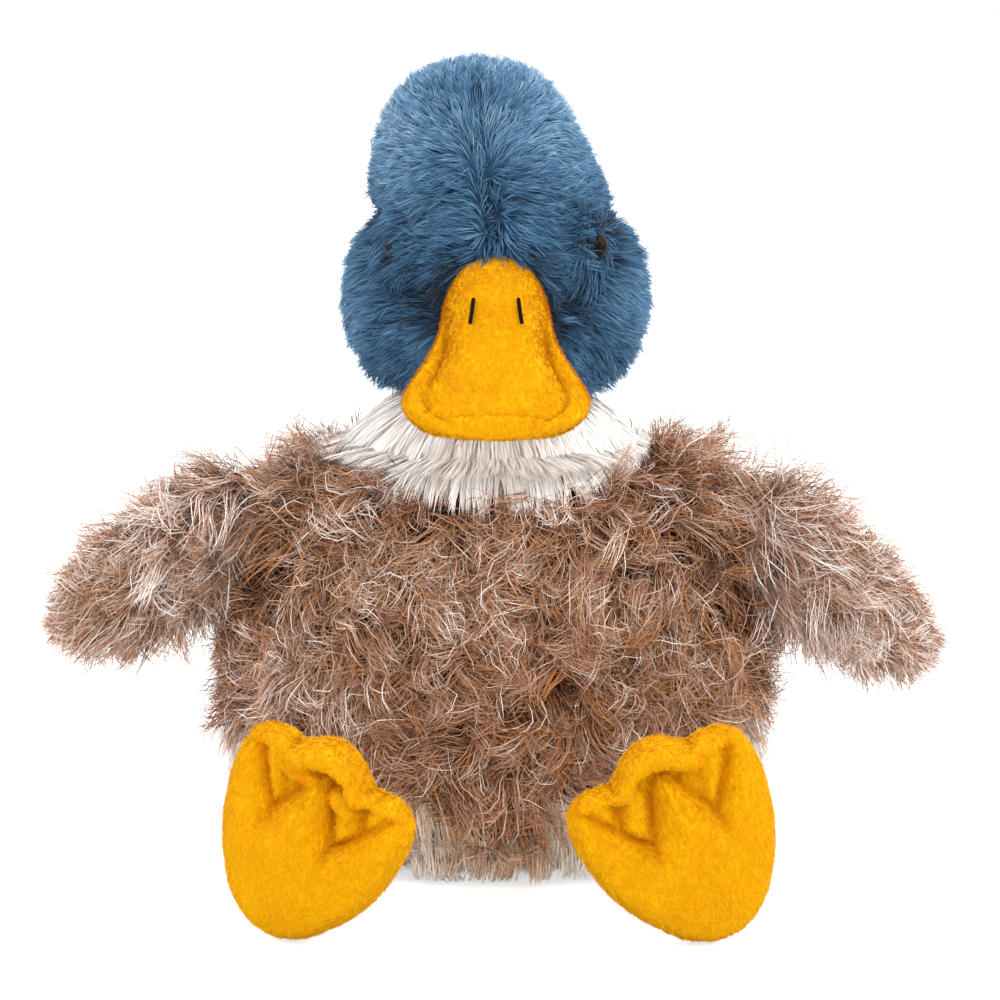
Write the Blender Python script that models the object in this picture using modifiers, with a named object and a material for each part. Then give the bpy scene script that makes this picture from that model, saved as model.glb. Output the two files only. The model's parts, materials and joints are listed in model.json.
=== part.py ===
"""A plush duck that sits with its soles forward.

Every stuffed form (body, head, bill, wing, leg, foot, tail) is one loft
through oval sections.  The cloth panels are that loft, parted at the seams
and hollowed by the same loft drawn in by the depth of the cloth; the filling
is the loft drawn in a little further.  Limbs hang on a rounded seam bead that
lies in a groove of the body, and the head and feet roll on round seats.
"""
import math

import bmesh
import bpy
from mathutils import Matrix, Vector

# Sewing: the slit left between neighbouring pieces, and the play of a turning seat
SEAM_GAP = 0.0003
TURNING_PLAY = 0.0007
FILLING_EASE = 0.0005
FLOOR_FLAT = 0.0005
OVERRUN = 0.012

# Cloth depths, backing and half-laid pile together
COAT_CLOTH = 0.0075
HEAD_CLOTH = 0.0060
WING_CLOTH = 0.0048
TAIL_CLOTH = 0.0035
VELBOA_CLOTH = 0.0021

# Body
BODY_HEIGHT = 0.128
BODY_WIDTH = 0.160
BODY_DEPTH = 0.112
COAT_HEM_HEIGHT = 0.036
NECK_SEAT_DROP = 0.009
BODY_HEIGHT_SHARES = (0.0, 0.0012, 0.0095, 0.075, 0.205, 0.375, 0.55, 0.725, 0.875, 0.965, 1.0)
BODY_GIRTH_SHARES = (0.0, 0.36, 0.68, 0.89, 0.985, 1.0, 0.97, 0.905, 0.80, 0.56, 0.0)
BODY_ROUND_SHARES = (1.0, 1.0, 1.0, 1.0, 1.0, 1.0, 1.0, 1.0, 1.02, 1.10, 1.15)

# Pellet bag in the seat
PELLET_BAG_WIDTH = 0.074
PELLET_BAG_DEPTH = 0.052
PELLET_BAG_HEIGHT = 0.016
PELLET_BAG_GIRTH_SHARES = (0.0, 0.62, 0.90, 1.0, 0.90, 0.62, 0.0)

# Neck: a dome that the head rolls on, centred below its seat and wider than deep
NECK_DOME_RADIUS = 0.047
NECK_WIDTH_SHARE = 1.15
NECK_DOME_SINK = 0.0225
NECK_PLUG_RADIUS = 0.022

# Head: its foot is set by the seat of the neck
HEAD_FOOT_RISE = 0.007
HEAD_HEIGHT = 0.1075
HEAD_WIDTH = 0.073
HEAD_DEPTH = 0.086
CROWN_SIDE_LEAN = 0.0055
CROWN_LEAN_FROM_SHARE = 0.48
CROWN_LEAN_TO_SHARE = 0.85
HEAD_HEIGHT_SHARES = (0.0, 0.02, 0.08, 0.185, 0.315, 0.455, 0.60, 0.745, 0.875, 0.965, 1.0)
HEAD_GIRTH_SHARES = (0.0, 0.46, 0.71, 0.81, 0.88, 0.95, 0.99, 0.89, 0.72, 0.43, 0.0)
HEAD_DEPTH_SHARES = (0.0, 0.44, 0.70, 0.86, 0.95, 1.0, 0.98, 0.87, 0.66, 0.40, 0.0)
HEAD_LEAN_SHARES = (-0.02, -0.02, -0.03, -0.05, -0.06, -0.06, -0.035, 0.0, 0.025, 0.045, 0.045)
BROW_NARROWING_SHARE = 0.16

# Cheek gussets, set on the head by a share of its height
CHEEK_WIDTH = 0.035
CHEEK_DEPTH = 0.054
CHEEK_HEIGHT = 0.053
CHEEK_OUT = 0.0265
CHEEK_BACK = 0.004
CHEEK_RISE_SHARE = 0.344

# Bill, from its root inside the head to the tip
BILL_ROOT_FORWARD = 0.0287
BILL_ROOT_RISE_SHARE = 0.402
BILL_LENGTH = 0.060
BILL_WIDTH = 0.0515
BILL_DOME = 0.0155
BILL_KEEL = 0.0070
BILL_RIM_WIDTH = 0.0050
BILL_RIM_THICKNESS = 0.0046
BILL_FILLING_EASE = 0.0009
BILL_PITCH = math.radians(36)
BILL_LENGTH_SHARES = (0.0, 0.01, 0.12, 0.23, 0.34, 0.45, 0.56, 0.66, 0.75, 0.84, 0.92, 0.975, 1.0)
BILL_WIDTH_SHARES = (0.0, 0.50, 0.56, 0.59, 0.63, 0.71, 0.82, 0.93, 1.0, 0.96, 0.78, 0.46, 0.0)
BILL_DOME_SHARES = (0.0, 0.9, 1.0, 1.0, 0.93, 0.80, 0.64, 0.49, 0.35, 0.23, 0.13, 0.05, 0.0)
BILL_RIM_SHARES = (0.0, 0.0, 0.05, 0.10, 0.30, 0.65, 0.9, 1.0, 1.0, 1.0, 1.0, 1.0, 1.0)
BILL_BOX_POWER = 3.0
BILL_CROWN_POWER = 0.8
BILL_EDGE_SHARE = 0.4
BILL_END_SHARE = 0.167

# Eyes
EYE_RADIUS = 0.0046
EYE_DOME = 0.0030
EYE_SEAT_DEPTH = 0.0016
EYE_SHANK_RADIUS = 0.0016
EYE_SHANK_LENGTH = 0.0125
EYE_WASHER_RADIUS = 0.0056
EYE_WASHER_THICKNESS = 0.0012
EYE_WASHER_DEPTH = 0.0088
EYE_PLACE_SHARE = 0.535
EYE_TURN = math.radians(-30)

# Nostril stitches
STITCH_RADIUS = 0.00055
STITCH_RISE = 0.0002
STITCH_FROM_SHARE = 0.35
STITCH_TO_SHARE = 0.44
STITCH_SPREAD_SHARE = 0.37
STITCH_POINTS = 7

# Seam bead that a limb hangs on, and the flat seam allowance beside it
BEAD_RADIUS = 0.0024
BEAD_STAND_OFF = 0.0012
BEAD_PLAY = 0.0004
ALLOWANCE_LENGTH = 0.0042
ALLOWANCE_HALF = 0.0012

# Wings; their roots lie at shares of the height of the neck seat
WING_ROOT_TOP_SHARE = 0.983
WING_ROOT_BOTTOM_SHARE = 0.689
WING_STAND_OFF = 0.0020
WING_LENGTH = 0.067
WING_WIDTH = 0.058
WING_THICKNESS = 0.021
WING_SWEEP = math.radians(5)
WING_DROOPS = (math.radians(27), math.radians(23.5))
WING_SAGS = (0.0062, 0.0)
WING_LENGTH_SHARES = (0.20, 0.34, 0.50, 0.66, 0.80, 0.92, 1.0)
WING_WIDTH_SHARES = (0.88, 1.0, 0.96, 0.83, 0.66, 0.43, 0.0)
WING_THICKNESS_SHARES = (0.60, 0.90, 1.0, 0.92, 0.74, 0.45, 0.0)

# Legs
HIP_OUT = 0.032
HIP_HEIGHT = 0.021
HIP_WIDTH = 0.021
LEG_LENGTH = 0.036
LEG_THICKNESS = 0.022
LEG_SPLAYS = (math.radians(21), math.radians(15))
LEG_LENGTH_SHARES = (0.28, 0.46, 0.66, 0.84, 0.93)
LEG_THICKNESS_SHARES = (0.70, 0.97, 1.0, 0.97, 0.95)
ANKLE_RADIUS = 0.0104
ANKLE_SEAT_DEPTH = 0.0040

# Feet
FOOT_WIDTH = 0.0620
FOOT_HEIGHT = 0.0605
FOOT_THICKNESS = 0.0165
FOOT_TURNS = (math.radians(6), math.radians(23))
FOOT_OUTLINE_SHARES = (
    0.98, 0.98, 1.03, 1.14, 1.19, 0.95, 0.88, 0.94, 0.86, 0.75, 0.84, 0.97,
    0.92, 0.84, 0.80, 0.77, 0.78, 0.81, 0.88, 1.00, 1.05, 1.07, 1.045, 0.99)
FOOT_EDGE_POWER = 3.0
TOE_TURNS = (math.radians(69), math.radians(97), math.radians(151))
TOE_ROOT_DROP_SHARE = 0.30
TOE_RIDGE_WIDTH = 0.0064
TOE_RIDGE_SHARE = 0.52

# Tail
TAIL_ROOT_HEIGHT = 0.048
TAIL_ROOT_WIDTH = 0.024
TAIL_LENGTH = 0.040
TAIL_WIDTH = 0.036
TAIL_THICKNESS = 0.0170
TAIL_RISE = math.radians(20)
TAIL_LENGTH_SHARES = (0.26, 0.42, 0.60, 0.78, 0.92, 1.0)
TAIL_WIDTH_SHARES = (0.90, 1.0, 0.95, 0.76, 0.46, 0.0)
TAIL_THICKNESS_SHARES = (0.72, 1.0, 0.96, 0.74, 0.44, 0.0)

# Facets: how finely the forms are divided
BODY_COLUMNS = 32
BODY_RINGS = 20
HEAD_COLUMNS = 26
HEAD_RINGS = 20
CORE_COLUMNS = 14
CORE_RINGS = 10
BILL_COLUMNS = 26
LIMB_COLUMNS = 16
FOOT_COLUMNS = 24
FOOT_RINGS = 12
SEAT_COLUMNS = 34
SEAT_RINGS = 20
SEAT_FACET_TURN = math.radians(3)
BAG_COLUMNS = 15
BILL_CORE_COLUMNS = 16
ROUND_STEPS = 20
SMALL_STEP_SHARE = 0.01

SIDES = (("left", 1), ("right", -1))
UP = Vector((0.0, 0.0, 1.0))
NECK_SEAT_HEIGHT = BODY_HEIGHT - NECK_SEAT_DROP
DOME_CENTRE = Vector((0.0, 0.0, NECK_SEAT_HEIGHT - NECK_DOME_SINK))
HEAD_FOOT_HEIGHT = NECK_SEAT_HEIGHT + HEAD_FOOT_RISE


def clear_scene():
    for thing in list(bpy.data.objects):
        bpy.data.objects.remove(thing, do_unlink=True)


def new_collection(name):
    collection = bpy.data.collections.new(name)
    bpy.context.scene.collection.children.link(collection)
    return collection


def cloth(name, color, roughness=0.95, metallic=0.0):
    material = bpy.data.materials.new(name)
    material.use_nodes = True
    shader = material.node_tree.nodes["Principled BSDF"]
    shader.inputs["Base Color"].default_value = (*color, 1.0)
    shader.inputs["Roughness"].default_value = roughness
    shader.inputs["Metallic"].default_value = metallic
    return material


def read_share(shares, place):
    """Read a row of evenly spaced shares on a smooth curve, place from 0 to 1."""
    span = place * (len(shares) - 1)
    index = min(int(span + 1e-9), len(shares) - 2)
    part = span - index
    here, there = shares[index], shares[index + 1]
    before = shares[index - 1] if index else here
    after = shares[index + 2] if index + 2 < len(shares) else there
    slope_here, slope_there = (there - before) / 2, (after - here) / 2
    square, cube = part * part, part * part * part
    return ((2 * cube - 3 * square + 1) * here + (cube - 2 * square + part) * slope_here
            + (3 * square - 2 * cube) * there + (cube - square) * slope_there)


def mesh_object(name, bm, collection, material=None):
    """Close the book on a bmesh: outward faces, smooth shading, one object."""
    bmesh.ops.recalc_face_normals(bm, faces=bm.faces)
    if bm.calc_volume(signed=True) < 0:
        bmesh.ops.reverse_faces(bm, faces=bm.faces)
    mesh = bpy.data.meshes.new(name)
    bm.to_mesh(mesh)
    bm.free()
    mesh.shade_smooth()
    if material:
        mesh.materials.append(material)
    thing = bpy.data.objects.new(name, mesh)
    collection.objects.link(thing)
    return thing


def as_cutter(thing):
    thing.hide_render = True
    thing.display_type = 'WIRE'
    return thing


def boolean(thing, other, operation='DIFFERENCE'):
    modifier = thing.modifiers.new(other.name, 'BOOLEAN')
    modifier.operation = operation
    modifier.solver = 'EXACT'
    modifier.object = other


def loft(point, columns, rings):
    """A closed bag from a sphere: each vertex goes to point(place along 0..1, turn round)."""
    bm = bmesh.new()
    bmesh.ops.create_uvsphere(bm, u_segments=columns, v_segments=rings, radius=1.0)
    for vert in bm.verts:
        place = 1.0 - math.acos(max(-1.0, min(1.0, vert.co.z))) / math.pi
        turn = math.atan2(vert.co.y, vert.co.x)
        vert.co = point(place, turn)
    return bm


def trim(bm, through, outward):
    """Cut away what lies beyond a plane and close the cut."""
    geometry = bm.verts[:] + bm.edges[:] + bm.faces[:]
    bmesh.ops.bisect_plane(bm, geom=geometry, plane_co=through, plane_no=outward,
                           clear_outer=True, dist=1e-7)
    rim = [edge for edge in bm.edges if edge.is_boundary]
    bmesh.ops.holes_fill(bm, edges=rim)
    return bm


def turned(name, profile, collection, material=None, steps=SEAT_COLUMNS, closed=False):
    """A turned solid from (radius, height) points that run down its outer side."""
    bm = bmesh.new()
    verts = [bm.verts.new((radius, 0.0, height)) for radius, height in profile]
    loops = zip(verts, verts[1:] + verts[:1]) if closed else zip(verts, verts[1:])
    for first, second in loops:
        bm.edges.new((first, second))
    mesh = bpy.data.meshes.new(name)
    bm.to_mesh(mesh)
    bm.free()
    thing = bpy.data.objects.new(name, mesh)
    collection.objects.link(thing)
    screw = thing.modifiers.new("turn", 'SCREW')
    screw.steps = steps
    screw.render_steps = steps
    screw.use_merge_vertices = True
    screw.merge_threshold = 1e-5
    screw.use_smooth_shade = True
    if material:
        mesh.materials.append(material)
    return thing


def evaluated(thing):
    """The object's mesh after its modifiers, in world space, as a bmesh."""
    bpy.context.view_layer.update()
    graph = bpy.context.evaluated_depsgraph_get()
    bm = bmesh.new()
    bm.from_mesh(thing.evaluated_get(graph).to_mesh())
    bm.transform(thing.matrix_world)
    return bm


class Duck:
    """Collections and joint empties that all pieces share."""

    def __init__(self):
        clear_scene()
        self.parts = new_collection("plush_duck")
        self.cutters = new_collection("plush_duck_cutters")
        self.joints = {}

    def joint(self, name, place, parent=None):
        empty = bpy.data.objects.new(name, None)
        empty.empty_display_size = BEAD_RADIUS
        self.parts.objects.link(empty)
        empty.location = place
        self.joints[name] = (empty, Vector(place))
        if parent:
            self.hang(empty, parent)

    def hang(self, thing, joint_name):
        """Parent to a joint's empty and stay in place."""
        empty, place = self.joints[joint_name]
        thing.parent = empty
        thing.matrix_parent_inverse = Matrix.Translation(-place)

    def piece(self, name, bm, material, joint_name=None):
        thing = mesh_object(name, bm, self.parts, material)
        if joint_name:
            self.hang(thing, joint_name)
        return thing

    def cutter(self, name, bm):
        return as_cutter(mesh_object(name, bm, self.cutters))


def body_form(inset=0.0, columns=BODY_COLUMNS, rings=BODY_RINGS):
    """The pear-shaped bag of the body; an inset draws it in but leaves its crown open."""
    def point(place, turn):
        girth = read_share(BODY_GIRTH_SHARES, place)
        depth = girth * read_share(BODY_ROUND_SHARES, place)
        rise = read_share(BODY_HEIGHT_SHARES, place) * (BODY_HEIGHT + FLOOR_FLAT - inset)
        return Vector((girth * (BODY_WIDTH / 2 - inset) * math.cos(turn),
                       depth * (BODY_DEPTH / 2 - inset) * math.sin(turn),
                       rise + inset - FLOOR_FLAT))
    return loft(point, columns, rings)


def body_halves_at(height):
    """Half width and half depth of the body at a height above the floor."""
    low, high = 0.2, 0.95
    for _ in range(40):
        middle = (low + high) / 2
        rise = read_share(BODY_HEIGHT_SHARES, middle) * (BODY_HEIGHT + FLOOR_FLAT) - FLOOR_FLAT
        low, high = (middle, high) if rise < height else (low, middle)
    girth = read_share(BODY_GIRTH_SHARES, low)
    return girth * BODY_WIDTH / 2, girth * read_share(BODY_ROUND_SHARES, low) * BODY_DEPTH / 2


def head_form(inset=0.0, columns=HEAD_COLUMNS, rings=HEAD_RINGS):
    """The head's egg, narrower at the brow; an inset leaves its foot open."""
    return loft(lambda place, turn: head_point(place, turn, inset), columns, rings)


def head_point(place, turn, inset=0.0):
    across = read_share(HEAD_GIRTH_SHARES, place) * (HEAD_WIDTH / 2 - inset)
    deep = read_share(HEAD_DEPTH_SHARES, place) * (HEAD_DEPTH / 2 - inset)
    lean = read_share(HEAD_LEAN_SHARES, place) * HEAD_DEPTH
    narrow = 1.0 - BROW_NARROWING_SHARE * max(0.0, -math.sin(turn))
    rise = read_share(HEAD_HEIGHT_SHARES, place) * (HEAD_HEIGHT - inset)
    crown = (rise / HEAD_HEIGHT - CROWN_LEAN_FROM_SHARE) / (CROWN_LEAN_TO_SHARE - CROWN_LEAN_FROM_SHARE)
    crown = min(1.0, max(0.0, crown))
    aside = CROWN_SIDE_LEAN * crown * crown * (3 - 2 * crown)
    return Vector((across * math.cos(turn) * narrow - aside, deep * math.sin(turn) + lean,
                   HEAD_FOOT_HEIGHT + rise))


def bill_matrix():
    """Bill directions: across, up out of the bill's back, and along to its tip."""
    along = Vector((0.0, -math.cos(BILL_PITCH), -math.sin(BILL_PITCH)))
    across = Vector((1.0, 0.0, 0.0))
    root = Vector((0.0, -BILL_ROOT_FORWARD, HEAD_FOOT_HEIGHT + BILL_ROOT_RISE_SHARE * HEAD_HEIGHT))
    return directions(across, along.cross(across), along, root)


def bill_point(place, turn, inset=0.0):
    """A spoon: a dome over a keel, inside a thin flat rim."""
    rim = BILL_RIM_WIDTH + inset if inset else 0.0
    drawn = inset + BILL_RIM_WIDTH * read_share(BILL_RIM_SHARES, place) if inset else 0.0
    half = max(0.0, read_share(BILL_WIDTH_SHARES, place) * BILL_WIDTH / 2 - drawn)
    x = half * math.cos(turn)
    flat = 0.0 if inset else BILL_RIM_WIDTH * read_share(BILL_RIM_SHARES, place)
    lateral = min(1.0, abs(x) / max(half - flat, BILL_END_SHARE * BILL_RIM_WIDTH))
    crown = max(0.0, 1.0 - lateral ** BILL_BOX_POWER) ** BILL_CROWN_POWER
    swell = crown * read_share(BILL_DOME_SHARES, place)
    ends = min(1.0, (1.0 - place) / BILL_END_SHARE, place / BILL_END_SHARE)
    edge = min(1.0, abs(math.sin(turn)) / BILL_EDGE_SHARE) * ends
    upper = math.sin(turn) >= 0
    thick = (BILL_RIM_THICKNESS / 2 - inset) * edge + (BILL_DOME if upper else BILL_KEEL) * swell
    thick = max(thick, edge * SEAM_GAP / 3)
    along = read_share(BILL_LENGTH_SHARES, place) * (BILL_LENGTH - rim)
    return Vector((x, thick if upper else -thick, along))


def bill_form(inset=0.0, columns=BILL_COLUMNS):
    return loft(lambda place, turn: bill_point(place, turn, inset), columns,
                len(BILL_LENGTH_SHARES) - 1)


def directions(across, up, along, origin):
    """World matrix whose columns are a form's own directions."""
    return Matrix.Translation(origin) @ Matrix((across, up, along)).transposed().to_4x4()


def limb_form(rows, columns=LIMB_COLUMNS):
    """A closed limb through (along, half width, half thickness) rows."""
    alongs, halves, thicks = zip(*rows)

    def point(place, turn):
        return Vector((read_share(halves, place) * math.cos(turn),
                       read_share(thicks, place) * math.sin(turn),
                       read_share(alongs, place)))
    return loft(point, columns, len(rows) - 1)


def bead_rows(root_half):
    """The rounded seam bead at a limb's root and the flat allowance after it."""
    return [(-BEAD_RADIUS, 0.0, 0.0),
            (-0.7 * BEAD_RADIUS, 0.94 * root_half, 0.7 * BEAD_RADIUS),
            (0.0, root_half, BEAD_RADIUS),
            (0.7 * BEAD_RADIUS, root_half, 0.72 * BEAD_RADIUS),
            (ALLOWANCE_LENGTH, 1.02 * root_half, ALLOWANCE_HALF)]


def swell_rows(alongs, widths, thicks, length, half_width, half_thick, inset=0.0):
    """The stuffed part of a limb; an inset draws it in and starts it from a point."""
    start = alongs[0] * length + inset
    stretch = (length - inset - start) / (1.0 - alongs[0])
    rows = [(start + stretch * (along - alongs[0]), (half_width - inset) * wide,
             (half_thick - inset) * thick)
            for along, wide, thick in zip(alongs, widths, thicks)]
    if inset:
        rows[0] = (start, 0.0, 0.0)
    return rows


def bead_bar(name, duck, centre, axis, root_half):
    """Cutter for the groove that a seam bead lies in."""
    bm = bmesh.new()
    reach = 2 * (root_half + BEAD_PLAY)
    radius = BEAD_RADIUS + BEAD_PLAY
    bmesh.ops.create_cone(bm, cap_ends=True, segments=ROUND_STEPS, radius1=radius,
                          radius2=radius, depth=reach)
    bm.transform(Matrix.Translation(centre) @ axis.to_track_quat('Z', 'Y').to_matrix().to_4x4())
    return duck.cutter(name, bm)


def two_panels(duck, names, make_form, place, material, hollow, joint_name):
    """Part a form at its own seam plane into two cloth shells round the hollow."""
    shells = []
    for name, away in zip(names, (1, -1)):
        seam = Vector((0.0, away * SEAM_GAP / 2, 0.0))
        bm = trim(make_form(), seam, Vector((0.0, -away, 0.0)))
        place(bm)
        shell = duck.piece(name, bm, material, joint_name)
        boolean(shell, hollow)
        shells.append(shell)
    return shells


def build_body(duck, coat, underside, filling, pellets):
    hollow = duck.cutter("body_hollow", body_form(COAT_CLOTH, CORE_COLUMNS, CORE_RINGS))
    top = UP * NECK_SEAT_HEIGHT
    coats = []
    for name, away in (("body_front_panel", -1), ("body_back_panel", 1)):
        bm = trim(body_form(), top, UP)
        trim(bm, UP * (COAT_HEM_HEIGHT + SEAM_GAP / 2), -UP)
        trim(bm, Vector((0.0, away * SEAM_GAP / 2, 0.0)), Vector((0.0, -away, 0.0)))
        coats.append(duck.piece(name, bm, coat))
    bm = trim(body_form(), UP * (COAT_HEM_HEIGHT - SEAM_GAP / 2), UP)
    trim(bm, Vector(), -UP)
    under = duck.piece("body_under_panel", bm, underside)
    for shell in (*coats, under):
        boolean(shell, hollow)

    bag_bottom = COAT_CLOTH - FLOOR_FLAT + SEAM_GAP
    def bag(grow):
        def point(place, turn):
            girth = read_share(PELLET_BAG_GIRTH_SHARES, place)
            round_way = turn + SEAT_FACET_TURN
            return Vector((girth * (PELLET_BAG_WIDTH / 2 + grow) * math.cos(round_way),
                           girth * (PELLET_BAG_DEPTH / 2 + grow) * math.sin(round_way),
                           bag_bottom - grow + place * (PELLET_BAG_HEIGHT + 2 * grow)))
        return loft(point, BAG_COLUMNS, len(PELLET_BAG_GIRTH_SHARES) - 1)
    duck.piece("pellet_bag", bag(0.0), pellets)
    pocket = duck.cutter("pellet_pocket", bag(SEAM_GAP))

    core = body_form(COAT_CLOTH + FILLING_EASE, CORE_COLUMNS, CORE_RINGS)
    stuffing = duck.piece("body_stuffing", trim(core, top, UP), filling)
    boolean(stuffing, pocket)
    return coats, under


def dome_arc(inner, outer, steps):
    """Profile points down the dome, from one radius out to another."""
    first = math.asin(inner / NECK_DOME_RADIUS)
    last = math.asin(outer / NECK_DOME_RADIUS)
    turns = [first + (last - first) * step / steps for step in range(steps + 1)]
    return [(NECK_DOME_RADIUS * math.sin(turn),
             DOME_CENTRE.z + NECK_DOME_RADIUS * math.cos(turn)) for turn in turns]


def build_neck(duck, collar_fur, filling):
    duck.joint("neck_turn", UP * NECK_SEAT_HEIGHT)
    base = NECK_SEAT_HEIGHT + SEAM_GAP
    rim = math.sqrt(NECK_DOME_RADIUS ** 2 - (base - DOME_CENTRE.z) ** 2)
    inner = NECK_PLUG_RADIUS
    collar = turned("neck_collar", dome_arc(inner, rim, 6) + [(inner, base)],
                    duck.parts, collar_fur, closed=True)
    plug_radius = NECK_PLUG_RADIUS - SEAM_GAP
    plug = turned("neck_stuffing", dome_arc(0.0, plug_radius, 4) + [(plug_radius, base), (0.0, base)],
                  duck.parts, filling)
    for thing in (collar, plug):
        thing.scale.x = NECK_WIDTH_SHARE
        duck.hang(thing, "neck_turn")


def build_head(duck, blue, filling):
    duck.joint("head_nod", DOME_CENTRE, "neck_turn")
    bm = bmesh.new()
    bmesh.ops.create_uvsphere(bm, u_segments=SEAT_COLUMNS, v_segments=SEAT_RINGS,
                              radius=NECK_DOME_RADIUS + TURNING_PLAY)
    bm.transform(Matrix.Translation(DOME_CENTRE) @ Matrix.Diagonal((NECK_WIDTH_SHARE, 1.0, 1.0, 1.0))
                 @ Matrix.Rotation(SEAT_FACET_TURN, 4, 'Z'))
    seat = duck.cutter("head_seat", bm)
    hollow = duck.cutter("head_hollow", head_form(HEAD_CLOTH, CORE_COLUMNS, CORE_RINGS))
    halves = []
    for side_name, side in SIDES:
        shell = duck.piece(f"head_{side_name}_panel", head_form(), blue, "head_nod")
        boolean(shell, hollow)
        halves.append(shell)
    core = head_form(HEAD_CLOTH + FILLING_EASE, CORE_COLUMNS, CORE_RINGS)
    stuffing = duck.piece("head_stuffing", core, filling, "head_nod")
    for thing in (*halves, stuffing):
        boolean(thing, seat)
    for (side_name, side), shell in zip(SIDES, halves):
        bm = bmesh.new()
        bmesh.ops.create_cube(bm, size=1.0)
        bm.transform(Matrix.Translation((side * (SEAM_GAP - HEAD_DEPTH) / 2, 0.0, HEAD_FOOT_HEIGHT))
                     @ Matrix.Diagonal((HEAD_DEPTH, 2 * HEAD_DEPTH, 3 * HEAD_HEIGHT, 1.0)))
        boolean(shell, duck.cutter(f"head_{side_name}_parting", bm))

    outside = duck.cutter("head_outside", head_form(-SEAM_GAP))
    cheek_height = HEAD_FOOT_HEIGHT + CHEEK_RISE_SHARE * HEAD_HEIGHT
    cheeks = []
    for side_name, side in SIDES:
        bm = bmesh.new()
        bmesh.ops.create_uvsphere(bm, u_segments=HEAD_COLUMNS, v_segments=HEAD_RINGS // 2 + 4,
                                  radius=1.0)
        bm.transform(Matrix.Translation((side * CHEEK_OUT, CHEEK_BACK, cheek_height))
                     @ Matrix.Diagonal((CHEEK_WIDTH / 2, CHEEK_DEPTH / 2, CHEEK_HEIGHT / 2, 1.0)))
        cheek = duck.piece(f"cheek_{side_name}_panel", bm, blue, "head_nod")
        boolean(cheek, outside)
        boolean(cheek, seat)
        cheeks.append(cheek)
    return halves, stuffing, cheeks, outside


def eye_matrix(side):
    """Where an eye sits on the head, its own axis out of the cloth."""
    turn = EYE_TURN if side > 0 else math.pi - EYE_TURN
    here = head_point(EYE_PLACE_SHARE, turn)
    round_way = head_point(EYE_PLACE_SHARE, turn + SMALL_STEP_SHARE) - here
    up_way = head_point(EYE_PLACE_SHARE + SMALL_STEP_SHARE, turn) - here
    outward = round_way.cross(up_way).normalized()
    return Matrix.Translation(here) @ outward.to_track_quat('Z', 'Y').to_matrix().to_4x4()


def build_eyes(duck, black, washer_plastic, cloths):
    seat = -EYE_SEAT_DEPTH
    dome = [(EYE_RADIUS * math.sin(math.radians(turn)),
             seat + (EYE_DOME + EYE_SEAT_DEPTH) * math.cos(math.radians(turn)))
            for turn in range(0, 91, 15)]
    shank_end = seat - EYE_SHANK_LENGTH
    washer_top = -HEAD_CLOTH - SEAM_GAP
    washer_low = washer_top - EYE_WASHER_THICKNESS
    for side_name, side in SIDES:
        place = eye_matrix(side)
        eye = turned(f"eye_{side_name}", dome + [(EYE_SHANK_RADIUS, seat),
                     (EYE_SHANK_RADIUS, shank_end), (0.0, shank_end)],
                     duck.parts, black, ROUND_STEPS)
        bore = EYE_SHANK_RADIUS + SEAM_GAP
        washer = turned(f"eye_washer_{side_name}", [
            (bore, washer_top), (EYE_WASHER_RADIUS, washer_top), (EYE_WASHER_RADIUS, washer_low),
            (bore, washer_low)], duck.parts, washer_plastic, ROUND_STEPS, closed=True)
        wide, washer_wide = EYE_RADIUS + SEAM_GAP, EYE_WASHER_RADIUS + SEAM_GAP
        pocket = as_cutter(turned(f"eye_pocket_{side_name}", [
            (0.0, OVERRUN), (wide, OVERRUN), (wide, seat - SEAM_GAP), (bore, seat - SEAM_GAP),
            (bore, washer_top + SEAM_GAP), (washer_wide, washer_top + SEAM_GAP),
            (washer_wide, washer_low - SEAM_GAP), (bore, washer_low - SEAM_GAP),
            (bore, shank_end - SEAM_GAP), (0.0, shank_end - SEAM_GAP)],
            duck.cutters, steps=ROUND_STEPS))
        for thing in (eye, washer):
            thing.matrix_world = place
            duck.hang(thing, "head_nod")
        pocket.matrix_world = place
        for thing in cloths[side_name]:
            boolean(thing, pocket)


def tube(name, points, radius, collection, material=None):
    """A round thread through points, as a mesh with welded caps."""
    curve = bpy.data.curves.new(name + "_path", 'CURVE')
    curve.dimensions = '3D'
    curve.bevel_depth = radius
    curve.bevel_resolution = 2
    curve.use_fill_caps = True
    spline = curve.splines.new('POLY')
    spline.points.add(len(points) - 1)
    for knot, point in zip(spline.points, points):
        knot.co = (*point, 1.0)
    path = bpy.data.objects.new(name + "_path", curve)
    collection.objects.link(path)
    bm = evaluated(path)
    bpy.data.objects.remove(path, do_unlink=True)
    bmesh.ops.remove_doubles(bm, verts=bm.verts, dist=radius / 100)
    return mesh_object(name, bm, collection, material)


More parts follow.
